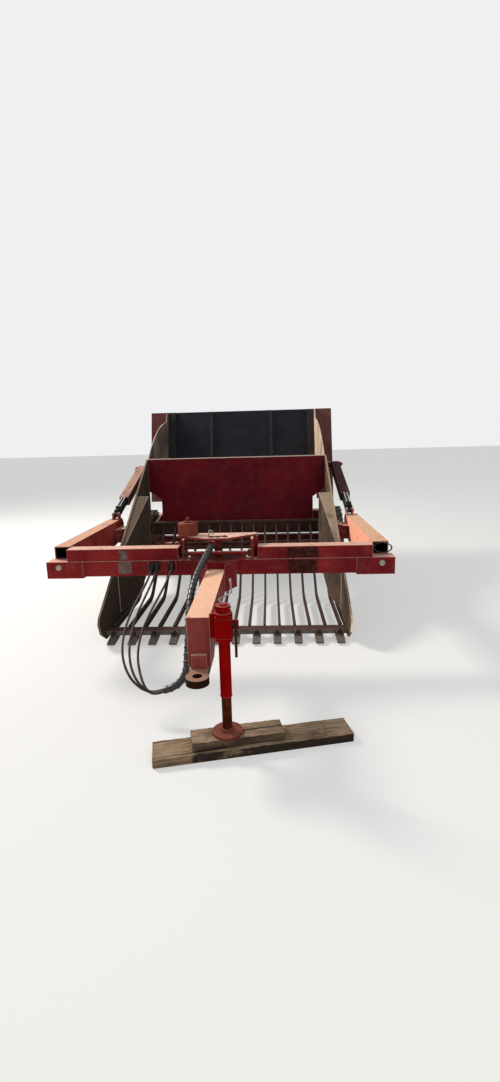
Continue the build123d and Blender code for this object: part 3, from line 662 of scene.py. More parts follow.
class Palette:
    """All finishes of the machine, each made once."""

    def __init__(self) -> None:
        """Make the materials."""
        self.paints()
        self.metals()
        # the scoop's left side is darker: painted shade
        self.scoop = Mud("scoop_mud", left_shade=0.8).material()
        # the hopper's right inner faces carry painted sunlight, and its left side a little painted shade
        self.hopper = Mud("hopper_mud", mud=(0.080, 0.062, 0.053), pale=(0.25, 0.19, 0.15),
                          dried=(0.62, 0.46, 0.34), showing=0.12, lit=0.85, left_shade=0.2).material()
        self.hose = Rubber("hose_rubber", dust=(0.16, 0.105, 0.075), dusty=0.55).material()
        self.sleeve = Rubber("sleeve_rubber", base=(0.008, 0.008, 0.009), dusty=0.06, roughness=0.38,
                             gloss=0.5).material()
        self.wrap = Rubber("wrap_rubber", base=(0.017, 0.016, 0.016), dusty=0.14, roughness=0.3,
                           gloss=0.5).material()
        self.tyre = Rubber("tyre_rubber", base=(0.020, 0.019, 0.018), dusty=0.65).material()
        self.plank = Timber("plank_wood", PLANK_ANGLE).material()

    def paints(self) -> None:
        """Make the paints of the frame, the drawbar and the bucket."""
        self.beam = Paint("beam_paint", bleach_and_top_light=(0.68, 0.39, 0.30), edge=(0.60, 0.36, 0.30),
                          wear=0.7).material()
        # the head's faces turned up take a dark colour: painted shade under the upper plate
        self.head = Paint("head_paint", body=(0.17, 0.009, 0.012), bleach_and_top_light=(0.105, 0.022, 0.022),
                          edge=(0.45, 0.22, 0.18), chips=0.24, fleck=(0.08, 0.03, 0.025)).material()
        self.plate = Paint("plate_paint", body=(0.125, 0.004, 0.009), deep=(0.090, 0.003, 0.009),
                           bleach_and_top_light=(0.66, 0.46, 0.36), edge=(0.62, 0.42, 0.33), chips=0.26,
                           fleck=(0.05, 0.012, 0.012), dust=0.05, wear=0.9,
                           inside=((-1.0, 1.4055), (1.1, 1.42)), other=(0.60, 0.45, 0.36),
                           other_top=(0.60, 0.45, 0.36)).material()
        # the band inside the arms' open front ends is painted black: painted shade in the mouths
        arm = {"body": (0.31, 0.045, 0.028), "deep": (0.19, 0.018, 0.014),
               "edge": (0.80, 0.52, 0.38), "inside": ((1.1155, 0.7755), (1.2145, 0.8545))}
        self.arm_left = Paint("arm_left_paint", bleach_and_top_light=(0.56, 0.30, 0.20), **arm).material()
        # the right arm's tops are paler than the left arm's, and its faces turned to the left paler still:
        # painted sunlight
        self.arm_right = Paint("arm_right_paint", bleach_and_top_light=(0.70, 0.40, 0.245), side=1.0,
                               lit=(0.95, 0.42, 0.28), **arm).material()
        # the drawbar's very pale edge colour is wear and painted highlights along its edges
        self.drawbar = Paint("drawbar_paint", body=(0.21, 0.036, 0.032), deep=(0.14, 0.022, 0.020),
                             bleach_and_top_light=(0.82, 0.48, 0.32), edge=(0.92, 0.66, 0.52), chips=0.16, grit=0.86,
                             dust=0.16, wear=0.9).material()
        # the tow eye's lower part is dark on its sides and pale on top: painted shade and painted sunlight
        self.eye = Paint("eye_paint", body=(0.22, 0.045, 0.040), deep=(0.15, 0.026, 0.023),
                         edge=(0.50, 0.28, 0.23), chips=0.2, wear=0.9, gloss=0.03,
                         inside=((-1.0, 0.0), (0.2, 0.4505)), other=(0.015, 0.006, 0.003),
                         other_top=(0.30, 0.17, 0.115)).material()
        self.jack = Paint("jack_paint", body=(0.24, 0.003, 0.003), deep=(0.16, 0.002, 0.002),
                          bleach_and_top_light=(0.42, 0.10, 0.08), edge=(0.26, 0.04, 0.03), chips=0.1, dust=0.0,
                          gloss=0.0).material()
        self.foot = Paint("foot_paint", body=(0.17, 0.030, 0.020), deep=(0.11, 0.018, 0.012),
                          bleach_and_top_light=(0.20, 0.055, 0.038), edge=(0.30, 0.12, 0.09), chips=0.3).material()
        self.post = Paint("post_paint", body=(0.15, 0.050, 0.048), deep=(0.085, 0.022, 0.022),
                          chips=0.5).material()
        self.chassis = Paint("chassis_paint", body=(0.16, 0.022, 0.020), deep=(0.09, 0.010, 0.010),
                             dust=0.4).material()
        self.pot = Paint("pot_paint", body=(0.21, 0.045, 0.026), deep=(0.13, 0.020, 0.015),
                         bleach_and_top_light=(0.22, 0.060, 0.036), edge=(0.16, 0.05, 0.03), chips=0.25,
                         dust=0.05).material()
        self.turret = Paint("turret_paint", bleach_and_top_light=(0.74, 0.47, 0.36)).material()
        self.guard = Paint("guard_paint", body=(0.13, 0.024, 0.021), deep=(0.08, 0.012, 0.012),
                           bleach_and_top_light=(0.40, 0.23, 0.17), chips=0.5).material()
        self.guard_shade = Paint("guard_shade_paint", body=(0.052, 0.008, 0.009), deep=(0.028, 0.004, 0.005),
                                 bleach_and_top_light=(0.060, 0.018, 0.018), edge=(0.12, 0.06, 0.05),
                                 fleck=(0.050, 0.018, 0.015), chips=0.5, dust=0.02, gloss=0.03).material()

    def metals(self) -> None:
        """Make the bare, rusty and black steels."""
        # the back wall's near-black bluish colour is painted shade with a painted sky reflection; mud thrown
        # up lies on its rear faces
        self.wall = Steel("back_wall_shade", (0.0055, 0.0062, 0.0105), (0.012, 0.0125, 0.018), 0.0, 0.6,
                          0.25, thrown=0.9).material()
        self.wall_rib = Steel("rib_paint", (0.036, 0.031, 0.030), (0.020, 0.018, 0.019), 0.0, 0.8,
                              0.1).material()
        self.rust = Steel("rusty_steel", (0.027, 0.011, 0.009), (0.057, 0.026, 0.019), 0.1, 0.8, 0.06,
                          top_wear=0.15).material()
        self.toe = Steel("toe_steel", (0.17, 0.135, 0.115), (0.10, 0.070, 0.055), 0.1, 0.8, 0.05,
                         top_wear=0.85, top=(0.060, 0.024, 0.018), edge=0.4).material()
        self.leg = Steel("leg_rust", (0.038, 0.008, 0.002), (0.075, 0.019, 0.005), 0.0, 0.7, 0.05,
                         gloss=0.02).material()
        self.worn = Steel("worn_steel", (0.13, 0.108, 0.090), (0.065, 0.050, 0.040), 0.2, 0.65, 0.02,
                          top_wear=0.25, edge=0.55).material()
        self.pin = Steel("pin_steel", (0.36, 0.33, 0.28), (0.22, 0.18, 0.15), 0.2, 0.6, 0.03).material()
        self.bright = Steel("bright_steel", (0.62, 0.61, 0.59), (0.45, 0.43, 0.40), 0.8, 0.3,
                            0.03).material()
        self.black = Steel("black_paint", (0.005, 0.005, 0.006), (0.020, 0.018, 0.017), 0.0, 0.45,
                           0.04).material()
        self.blank = Steel("bare_plate", (0.15, 0.105, 0.095), (0.095, 0.060, 0.055), 0.1, 0.7,
                           0.03).material()
        self.patch = Steel("rust_patch", (0.026, 0.006, 0.005), (0.062, 0.019, 0.014), 0.0, 0.9, 0.03,
                           gloss=0.05).material()


class Workpiece:
    """One mesh that grows by bmesh operators and becomes a piece of the machine."""

    def __init__(self, name: str) -> None:
        """Start an empty mesh.

        Args:
            name: Name of the piece.
        """
        self.name = name
        self.mesh = bmesh.new()

    def turned(self, start: Vector, end: Vector) -> Matrix:
        """Matrix that takes Z to the line from start to end, and the origin to the line's middle.

        Args:
            start: First end of the line.
            end: Second end of the line.

        Returns:
            The matrix.
        """
        turn = (end - start).to_track_quat("Z", "Y").to_matrix().to_4x4()
        return Matrix.Translation((start + end) / 2) @ turn

    def edges_at(self, corners: Sequence[bmesh.types.BMVert]) -> list[bmesh.types.BMEdge]:
        """Edges that meet these corners, each once, in the same order on every run."""
        return list(dict.fromkeys(edge for corner in corners for edge in corner.link_edges))

    def bevel(self, edges: list[bmesh.types.BMEdge], width: float) -> None:
        """Round edges with two narrow faces each."""
        bmesh.ops.bevel(self.mesh, geom=edges, offset=width, segments=2, profile=0.5, affect="EDGES",
                        material=-1)

    def rod(self, start: Vector, end: Vector, radius: float, segments: int,
            end_radius: float | None = None, bevel: float = 0.0) -> None:
        """Round bar, cone or, with six segments, a hexagon.

        Args:
            start: Middle of the first end.
            end: Middle of the second end.
            radius: Radius at the first end.
            segments: Number of faces round it.
            end_radius: Radius at the second end, if it differs.
            bevel: Width of the bevel at both rims.
        """
        made = bmesh.ops.create_cone(
            self.mesh, cap_ends=True, segments=segments, radius1=radius,
            radius2=radius if end_radius is None else end_radius, depth=(end - start).length,
            matrix=self.turned(start, end))
        if bevel:
            # the rims are the edges that a cap, with more than four corners, lies along
            self.bevel([edge for edge in self.edges_at(made["verts"])
                        if any(len(face.verts) > 4 for face in edge.link_faces)], bevel)

    def wire(self, points: Sequence[Vector], radius: float, segments: int) -> None:
        """Bent wire of straight rods, with a ball in each bend.

        Args:
            points: Ends and bends of its middle line.
            radius: Radius of the wire.
            segments: Number of faces round it.
        """
        for start, end in zip(points, points[1:]):
            self.rod(start, end, radius, segments)
        for bend in points[1:-1]:
            bmesh.ops.create_icosphere(self.mesh, subdivisions=2, radius=radius,
                                       matrix=Matrix.Translation(bend))

    def block(self, low: Vector, high: Vector, bevel: float) -> None:
        """Box between two corners.

        Args:
            low: Lowest corner.
            high: Highest corner.
            bevel: Width of the bevel on its edges.
        """
        matrix = Matrix.Translation((low + high) / 2) @ Matrix.Diagonal((*(high - low), 1))
        made = bmesh.ops.create_cube(self.mesh, size=1, matrix=matrix)
        self.bevel(self.edges_at(made["verts"]), bevel)

    def bolt(self, seat: Vector, axis: Vector, size: float, washer: bool = True) -> None:
        """Hexagon head with its washer, standing on a face.

        Args:
            seat: Point on the face.
            axis: Direction out of the face.
            size: Radius of the head.
            washer: Whether a washer lies under it.
        """
        out = axis.normalized()
        if washer:
            self.rod(seat - out * 0.001, seat + out * 0.2 * size, size * 1.45, 20)
        self.rod(seat, seat + out * size * 0.95, size, HEXAGON, bevel=size * 0.12)

    def ring(self, centre: Vector, axis: Vector, radius: float, thickness: float, segments: int) -> None:
        """Ring of round section.

        Args:
            centre: Middle of the ring.
            axis: Direction square to it.
            radius: Radius of its middle line.
            thickness: Radius of its section.
            segments: Number of stretches round it.
        """
        out = axis.normalized()
        side = out.orthogonal().normalized()
        turn = out.cross(side).to_track_quat("Z", "Y").to_matrix().to_4x4()
        matrix = Matrix.Translation(centre + side * radius) @ turn
        made = bmesh.ops.create_circle(self.mesh, segments=8, radius=thickness, matrix=matrix)
        bmesh.ops.spin(self.mesh, geom=made["verts"] + self.edges_at(made["verts"]), cent=centre, axis=out,
                       angle=math.tau, steps=segments, use_merge=True)

    def weld(self, start: Vector, end: Vector, radius: float) -> None:
        """Weld bead: a row of balls that run into each other, each a little long across the bead.

        Args:
            start: First end.
            end: Second end.
            radius: Mean radius.
        """
        pitch = radius * 1.8
        count = max(3, int((end - start).length / pitch))
        for index in range(count):
            middle = start.lerp(end, (index + 0.5) / count)
            matrix = self.turned(middle, middle + (end - start)) @ Matrix.Diagonal((1, 1, 1.25, 1))
            matrix.translation = middle
            bmesh.ops.create_icosphere(self.mesh, subdivisions=1, radius=radius, matrix=matrix)

    def done(self, body: Body, material: bpy.types.Material, slot: str, smooth: float = 40.0,
             replaces: tuple[str, ...] = ()) -> bpy.types.Object:
        """Turn the mesh into a piece that rides on a body.

        Args:
            body: Body that carries the piece.
            material: Its finish.
            slot: Material slot of the record that it belongs to; not used.
            smooth: Faces that meet under this angle, in degrees, shade smoothly.
            replaces: CAD nodes that the piece stands for.

        Returns:
            The new object.
        """
        bmesh.ops.remove_doubles(self.mesh, verts=self.mesh.verts, dist=1e-6)
        bmesh.ops.recalc_face_normals(self.mesh, faces=self.mesh.faces)
        for face in self.mesh.faces:
            face.smooth = True
        for edge in self.mesh.edges:
            edge.smooth = edge.calc_face_angle(0) < math.radians(smooth)
        data = bpy.data.meshes.new(self.name)
        self.mesh.to_mesh(data)
        self.mesh.free()
        piece = placed(self.name, data)
        data.materials.append(material)
        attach(piece, body.value)
        if replaces:
            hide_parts(*replaces)
        LOG.info("%s: %d faces", self.name, len(data.polygons))
        return piece


def curve_along(name: str, points: Sequence[Vector], kind: str = "NURBS",
                resolution: int = 8) -> bpy.types.Curve:
    """Curve of one spline.

    Args:
        name: Name of the curve.
        points: Points of its spline.
        kind: NURBS for a smooth line, POLY for a straight one from point to point.
        resolution: Number of stretches that a smooth line has between two points.

    Returns:
        The curve.
    """
    curve = bpy.data.curves.new(name, "CURVE")
    curve.dimensions = "3D"
    spline = curve.splines.new(kind)
    spline.points.add(len(points) - 1)
    for point, place in zip(spline.points, points):
        point.co = (*place, 1)
    if kind == "NURBS":
        spline.order_u = 3
        spline.use_endpoint_u = True
        spline.resolution_u = resolution
    return curve


def cord_curve(name: str, points: Sequence[Vector], radius: float, material: bpy.types.Material,
               body: Body) -> bpy.types.Object:
    """Smooth cord along control points.

    Args:
        name: Name of the piece.
        points: Control points of its spline.
        radius: Radius of the cord.
        material: Its finish.
        body: Body that carries it.

    Returns:
        The curve object.
    """
    curve = curve_along(name, points)
    curve.bevel_depth = radius
    curve.bevel_resolution = 4
    curve.use_fill_caps = True
    curve.materials.append(material)
    piece = placed(name, curve)
    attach(piece, body.value)
    return piece


def spline_line(points: Sequence[Vector]) -> list[Vector]:
    """Points of the smooth line that a cord with these control points follows.

    Args:
        points: Control points.

    Returns:
        Points along the line.
    """
    curve = curve_along("line", points, resolution=24)
    holder = bpy.data.objects.new("line", curve)
    mesh = bpy.data.meshes.new_from_object(holder)
    line = [vert.co.copy() for vert in mesh.vertices]
    bpy.data.objects.remove(holder)
    bpy.data.curves.remove(curve)
    bpy.data.meshes.remove(mesh)
    return line


@dataclass
class Hoses:
    """Three hoses that hang in a loop, and the wrapped sleeve that takes them to the turret.

    Attributes:
        palette: Finishes.
        hose_d: Diameter of a hose.
        sleeve_d: Diameter of the sleeve with its wrap.
        socket_length: How far a socket stands out of the beam.
        wrap_pitch: Distance between the turns of the wrap.
        wrap_steps: Points on each turn of the wrap.
        wrap_r: Radius of the wrap's cord.
        wrap_end: Length of the sleeve that stays bare at each end.
        sleeve: Points of the sleeve from where the hoses enter it up to the turret.
        hanging: For each hose the socket's X and Z, how far aside it ends, and the points between.
        lengths: Length of each hose and of the sleeve; not used.
    """

    palette: Palette
    hose_d: float = 0.015
    sleeve_d: float = 0.046
    socket_length: float = 0.022
    wrap_pitch: float = 0.042
    wrap_steps: int = 14
    wrap_r: float = 0.0048
    wrap_end: float = 0.012
    sleeve: tuple[tuple[float, float, float], ...] = (
        (-0.255, -0.800, 0.186), (-0.193, -0.800, 0.206), (-0.145, -0.798, 0.250), (-0.119, -0.790, 0.309),
        (-0.116, -0.764, 0.384), (-0.113, -0.710, 0.480), (-0.119, -0.620, 0.582), (-0.124, -0.500, 0.668),
        (-0.112, -0.362, 0.738), (-0.082, -0.222, 0.800), (-0.050, -0.090, 0.856), (-0.036, -0.025, 0.884))
    hanging: dict[str, tuple] = field(default_factory=lambda: {
        "a": ((-0.472, 0.712, 0.016),
              ((-0.478, -0.118, 0.672), (-0.510, -0.232, 0.596), (-0.548, -0.385, 0.508),
               (-0.560, -0.525, 0.415), (-0.540, -0.645, 0.322), (-0.480, -0.730, 0.236),
               (-0.400, -0.775, 0.184), (-0.352, -0.784, 0.171))),
        "b": ((-0.436, 0.712, 0.0),
              ((-0.442, -0.120, 0.670), (-0.474, -0.240, 0.586), (-0.506, -0.385, 0.498),
               (-0.516, -0.525, 0.406), (-0.496, -0.648, 0.316), (-0.446, -0.738, 0.238),
               (-0.382, -0.785, 0.190), (-0.352, -0.796, 0.176))),
        "c": ((-0.330, 0.716, -0.016),
              ((-0.338, -0.120, 0.674), (-0.374, -0.240, 0.596), (-0.420, -0.385, 0.508),
               (-0.450, -0.520, 0.418), (-0.446, -0.640, 0.332), (-0.412, -0.732, 0.262),
               (-0.376, -0.790, 0.212), (-0.346, -0.812, 0.186)))})
    lengths: dict[str, float] = field(default_factory=lambda: {
        "a": 1.135, "b": 1.106, "c": 1.089, "sleeve": 1.195})

    def build(self) -> None:
        """Make the sleeve with its wrap, the hoses and their fittings."""
        sleeve_points = [at(*point) for point in reversed(self.sleeve)]
        sleeve = cord_curve("sleeve", sleeve_points, self.sleeve_d / 2 - 0.002, self.palette.sleeve,
                            Body.FRAME)
        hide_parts("hose_sleeve")
        wrap = self.wrap(spline_line(sleeve_points))
        gather = (at(*self.sleeve[1]) - at(*self.sleeve[0])).normalized()
        for name, ((x, z, across), points) in self.hanging.items():
            start = at(x, -self.socket_length, z)
            end = at(*self.sleeve[0]) - gather * 0.0015 + Vector((0, across, 0))
            route = [start, at(x, -0.058, z)] + [at(*point) for point in points] + [end - gather * 0.055, end]
            hose = cord_curve(f"hose_{name}_rubber", route, self.hose_d / 2, self.palette.hose, Body.FRAME)
            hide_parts(f"hose_{name}")
        self.couplers()

    def couplers(self) -> None:
        """Coupler of each hose, and the blocks that hold them under the beam's edge."""
        fittings = Workpiece("hose_fittings")
        for (x, z, _), _ in self.hanging.values():
            fittings.rod(at(x, -0.004, z), at(x, -0.020, z), 0.019, HEXAGON, bevel=0.002)
            fittings.rod(at(x + 0.001, -0.022, 0.757), at(x - 0.003, -0.050, 0.693), 0.0185, 24, bevel=0.002)
            fittings.rod(at(x - 0.002, -0.044, 0.707), at(x - 0.004, -0.054, 0.684), 0.0150, HEXAGON,
                         bevel=0.001)
        fittings.done(Body.FRAME, self.palette.black, "bright")
        saddle = Workpiece("coupler_saddle")
        for low, high, depth in ((-0.504, -0.498, 0.018), (-0.304, -0.298, 0.018), (-0.404, -0.352, 0.007)):
            saddle.block(at(low, -depth, 0.690), at(high, 0.001, 0.7655), 0.002)
        saddle.done(Body.FRAME, self.palette.beam, "red")

    def spiral(self, line: list[Vector]) -> list[Vector]:
        """Points of a spiral that winds round a line without twisting with its bends.

        Args:
            line: Middle line of the sleeve.

        Returns:
            The points.
        """
        places, run, total = [], 0.0, sum((b - a).length for a, b in zip(line, line[1:]))
        side = (line[1] - line[0]).orthogonal().normalized()
        reach = self.sleeve_d / 2 - 0.003
        for a, b in zip(line, line[1:]):
            ahead = (b - a).normalized()
            side = (side - ahead * side.dot(ahead)).normalized()
            other = ahead.cross(side)
            length = (b - a).length
            count = max(1, round(length / self.wrap_pitch * self.wrap_steps))
            for index in range(count):
                done = run + length * index / count
                if self.wrap_end < done < total - self.wrap_end:
                    turn = done / self.wrap_pitch * math.tau
                    out = side * math.cos(turn) + other * math.sin(turn)
                    places.append(a.lerp(b, index / count) + out * reach)
            run += length
        return places

    def wrap(self, line: list[Vector]) -> bpy.types.Object:
        """Spiral wrap round the sleeve.

        Args:
            line: Middle line of the sleeve.

        Returns:
            The wrap.
        """
        curve = curve_along("sleeve_wrap", self.spiral(line), "POLY")
        curve.bevel_depth = self.wrap_r
        curve.bevel_resolution = 2
        curve.materials.append(self.palette.wrap)
        piece = placed("sleeve_wrap", curve)
        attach(piece, Body.FRAME.value)
        return piece


@dataclass
class Wheels:
    """Two implement tyres with lugs, and the nuts, hub cap and valve of their rims.

    Attributes:
        palette: Finishes.
        axle_y: Distance of the axle behind the beam's front face.
        axle_z: Height of the axle.
        radius: Outer radius.
        rim_r: Radius of the bead seat.
        inner: X of the tyre's inner side.
        width: Width of the tyre.
        lugs: Lugs on each half of the tread.
        lug: Length, width and height of a lug.
        slant: Angle of the lugs from the axle.
        nut_circle: Radius of the circle of nuts.
        nut_count: Number of nuts.
    """

    palette: Palette
    axle_y: float = 2.750
    axle_z: float = 0.380
    radius: float = 0.380
    rim_r: float = 0.200
    inner: float = 1.061
    width: float = 0.188
    lugs: int = 26
    lug: tuple[float, float, float] = (0.080, 0.026, 0.018)
    slant: float = math.radians(28)
    nut_circle: float = 0.092
    nut_count: int = 6

    @property
    def centre(self) -> Vector:
        """Point of the axle on the machine's middle plane."""
        return at(0, self.axle_y, self.axle_z)

    @property
    def middle(self) -> float:
        """X of the tyre's middle."""
        return self.inner + self.width / 2

    def tyre(self, side: Side) -> None:
        """Make one tyre: its carcass, lugs and shoulder rings.

        Args:
            side: Side of the machine.
        """
        piece = Workpiece(f"tyre_tread_{side.label}")
        tread_r = self.radius - 0.014
        # radius and distance across from the tyre's middle, from one bead over the tread to the other
        half = ((self.rim_r - 0.003, 0.070), (self.rim_r + 0.012, 0.078), (self.rim_r + 0.060, 0.094),
                (self.radius - 0.060, 0.092), (tread_r - 0.014, 0.084), (tread_r, 0.062))
        profile = [(radius, -across) for radius, across in half] + [(tread_r + 0.002, 0.0), *reversed(half)]
        ring = [piece.mesh.verts.new(self.centre + Vector((side.value * (self.middle + across), 0, radius)))
                for radius, across in profile]
        edges = [piece.mesh.edges.new(pair) for pair in zip(ring, ring[1:] + ring[:1])]
        bmesh.ops.spin(piece.mesh, geom=ring + edges, cent=self.centre, axis=ACROSS, angle=math.tau, steps=72,
                       use_merge=True)
        for index in range(self.lugs):
            for row in (-1, 1):
                turn = Matrix.Rotation(math.tau * (index + 0.25 * (row + 1)) / self.lugs, 4, "X")
                slant = Matrix.Rotation(row * side.value * self.slant, 4, "Z")
                made = bmesh.ops.create_cube(piece.mesh, size=1, matrix=Matrix.Diagonal((*self.lug, 1)))
                out = Matrix.Translation((side.value * self.middle + row * 0.045, 0, self.radius - 0.0095))
                bmesh.ops.transform(piece.mesh, matrix=Matrix.Translation(self.centre) @ turn @ out @ slant,
                                    verts=made["verts"])
        for shoulder in (-0.080, 0.080):
            piece.ring(self.centre + aside(side.value * (self.middle + shoulder)), ACROSS,
                       self.radius - 0.048, 0.010, 72)
        piece.done(side.body("wheel"), self.palette.tyre, "tyre", 35, replaces=(f"tyre_{side.label}",))

    def nuts(self, side: Side) -> None:
        """Wheel nuts, the hub's cap and the valve.

        Args:
            side: Side of the machine.
        """
        piece = Workpiece(f"wheel_nuts_{side.label}")
        out = aside(side.value)
        face = self.centre + out * (self.middle + 0.008)
        for index in range(self.nut_count):
            turn = Matrix.Rotation(math.tau * index / self.nut_count, 4, "X")
            piece.bolt(face + turn @ (UP * self.nut_circle), out, 0.011)
        piece.rod(face + out * 0.030, face + out * 0.052, 0.036, 24, bevel=0.006)
        piece.rod(face - out * 0.010 + UP * 0.150, face + out * 0.030 + UP * 0.142, 0.004, 8)
        piece.done(side.body("wheel"), self.palette.worn, "worn")

    def build(self) -> None:
        """Make both wheels."""
        for side in Side:
            self.tyre(side)
            self.nuts(side)


@dataclass
class Turret:
    """Bolts, bent pin and pipes of the turret and its plate, and the rings and cap of the oil pot.

    Attributes:
        palette: Finishes.
        plate_top: Height of the plate's top face.
        bolts: X, distance behind the beam's face and radius of each bolt.
        pin_wire: Radius of the bent pin.
        pot: Middle of the oil pot, X and distance behind the beam's face.
        pot_top: Height of the pot's top.
        pipe_ends: X of the ends of the cross pipes.
    """

    palette: Palette
    plate_top: float = 0.932
    bolts: tuple[tuple[float, float, float], ...] = (
        (-0.046, -0.004, 0.011), (0.004, 0.002, 0.008), (0.056, 0.004, 0.012))
    pin_wire: float = 0.0052
    pot: tuple[float, float] = (-0.222, 0.100)
    pot_top: float = 1.026
    pipe_ends: float = 0.236

    def build(self) -> None:
        """Make the small pieces of the turret."""
        self.plate_bolts()
        self.pin()
        self.pot_rings()
        self.pipes()

    def plate_bolts(self) -> None:
        """Bolts on the plate, and the rod that lies beside them."""
        piece = Workpiece("turret_bolts")
        for x, y, size in self.bolts:
            piece.bolt(at(x, y, self.plate_top), UP, size)
        lying = self.plate_top + 0.004
        piece.rod(at(-0.040, 0.012, lying), at(0.062, 0.014, lying), 0.0042, 12)
        piece.done(Body.FRAME, self.palette.foot, "worn")

    def pin(self) -> None:
        """Bent pin that stands in the plate."""
        piece = Workpiece("turret_pin")
        bends = ((-0.058, 0.004, -0.001), (-0.060, 0.004, 0.034), (-0.048, 0.005, 0.050),
                 (-0.034, 0.006, 0.044), (-0.030, 0.008, 0.018))
        piece.wire([at(x, y, self.plate_top + z) for x, y, z in bends], self.pin_wire, 12)
        piece.done(Body.FRAME, self.palette.pin, "worn")

    def pot_rings(self) -> None:
        """Rings, cap, nut and spout of the oil pot."""
        piece = Workpiece("pot_cap")
        x, y = self.pot
        piece.ring(at(x, y, self.pot_top - 0.014), UP, 0.0695, 0.0030, 36)
        piece.ring(at(x, y, self.plate_top + 0.006), UP, 0.0700, 0.0040, 36)
        piece.rod(at(x, y, self.pot_top - 0.001), at(x, y, self.pot_top + 0.010), 0.026, 20, bevel=0.003)
        piece.rod(at(x, y, self.pot_top + 0.010), at(x, y, self.pot_top + 0.026), 0.015, HEXAGON, bevel=0.002)
        piece.rod(at(x + 0.03, y - 0.01, self.pot_top), at(x + 0.085, y - 0.03, self.pot_top + 0.012),
                  0.004, 8)
        piece.done(Body.FRAME, self.palette.pot, "red")

    def pipes(self) -> None:
        """Cross pipes under the plate, and the rings at the cross rod's ends."""
        piece = Workpiece("turret_pipes")
        for z, y in ((0.852, 0.028), (0.872, 0.052)):
            piece.rod(at(-self.pipe_ends, y, z), at(self.pipe_ends, y, z), 0.008, 12)
        for side in Side:
            end = side.value
            piece.rod(at(end * 0.232, 0.028, 0.852), at(end * 0.206, 0.028, 0.852), 0.013, HEXAGON,
                      bevel=0.001)
            piece.rod(at(end * 0.237, 0.005, 0.815), at(end * 0.214, 0.005, 0.815), 0.026, 20, bevel=0.002)
        piece.done(Body.FRAME, self.palette.rust, "worn")


@dataclass
class BeamTrim:
    """Bare plate, rust patch, pin heads and welds of the front beam, and the hose in the right arm's mouth.

    Attributes:
        palette: Finishes.
        pin_x: X of the round pin heads.
        pin_z: Height of the pin heads.
        pin_face: How far the heads stand out of the beam.
        seed: Seed of the coats' ragged edges.
    """

    palette: Palette
    pin_x: float = 1.158
    pin_z: float = 0.728
    pin_face: float = 0.008
    seed: int = 11

    def patch(self, name: str, spans: tuple[tuple[float, float, float, float], ...],
              material: bpy.types.Material) -> None:
        """Thin ragged coat on the beam's front.

        Args:
            name: Name of the piece.
            spans: Lowest and highest X, and lowest and highest Z of each stretch.
            material: Its finish.
        """
        piece = Workpiece(name)
        rng = random.Random(self.seed)
        upright = Matrix.Rotation(math.pi / 2, 4, "X")
        for x0, x1, z0, z1 in spans:
            middle = Matrix.Translation(at((x0 + x1) / 2, -0.0012, (z0 + z1) / 2))
            made = bmesh.ops.create_grid(piece.mesh, x_segments=14, y_segments=14, size=0.5,
                                         matrix=middle @ upright @ Matrix.Diagonal((x1 - x0, z1 - z0, 1, 1)))
            for vert in made["verts"]:
                if vert.is_boundary:
                    vert.co += Vector((rng.uniform(-0.012, 0.012), 0, rng.uniform(-0.005, 0.005)))
        extruded = bmesh.ops.extrude_face_region(piece.mesh, geom=piece.mesh.faces[:])
        bmesh.ops.translate(piece.mesh, vec=(0, 0.0011, 0),
                            verts=[item for item in extruded["geom"] if isinstance(item, bmesh.types.BMVert)])
        piece.done(Body.FRAME, material, "rust")

    def build(self) -> None:
        """Make the trim of the beam."""
        self.plate()
        self.patch("rust_patch", ((0.500, 0.700, 0.664, 0.760), (0.492, 0.712, 0.776, 0.848)),
                   self.palette.patch)
        self.patch("mud_streak", ((-0.708, -0.652, 0.778, 0.846),), self.palette.blank)
        self.pin_heads()
        self.welds()
        self.arm_hose()

    def plate(self) -> None:
        """Blank plate with a rivet in each corner."""
        piece = Workpiece("bare_plate")
        piece.block(at(-0.724, -0.0025, 0.676), at(-0.626, 0.0, 0.764), 0.001)
        for x in (-0.716, -0.634):
            for z in (0.684, 0.756):
                piece.rod(at(x, -0.0025, z), at(x, -0.0045, z), 0.0035, 10)
        piece.done(Body.FRAME, self.palette.blank, "worn")

    def pin_heads(self) -> None:
        """Faces of the two pin heads, with a small boss in the middle."""
        piece = Workpiece("pin_rings")
        for side in Side:
            centre = at(side.value * self.pin_x, 0, self.pin_z)
            piece.rod(centre, centre + FRONT * (self.pin_face + 0.0015), 0.0175, 24, bevel=0.001)
            piece.rod(centre + FRONT * self.pin_face, centre + FRONT * (self.pin_face + 0.004), 0.004, 12)
        piece.done(Body.FRAME, self.palette.pin, "worn")

    def welds(self) -> None:
        """Beads along the upper tube, at the thicker ends and under the arms."""
        piece = Workpiece("beam_welds")
        for side in Side:
            end = side.value
            piece.weld(at(end * 0.300, -0.001, 0.768), at(end * 1.075, -0.001, 0.768), 0.0045)
            piece.weld(at(end * 0.982, -0.001, 0.660), at(end * 0.982, -0.001, 0.764), 0.005)
            for x in (1.108, 1.222):
                piece.weld(at(end * x, 0.135, 0.645), at(end * x, 0.135, 0.765), 0.005)
        piece.done(Body.FRAME, self.palette.beam, "red")

    def arm_hose(self) -> None:
        """Flattened loop of hose in the mouth of the right arm."""
        piece = Workpiece("arm_end_hose")
        centre = at(1.178, 0.084, 0.818)
        piece.ring(centre, Vector((-0.12, -1, 0.25)), 0.052, 0.0050, 40)
        bmesh.ops.scale(piece.mesh, vec=(1.22, 1, 0.66), space=Matrix.Translation(-centre),
                        verts=piece.mesh.verts)
        piece.done(Body.FRAME, self.palette.hose, "hose")


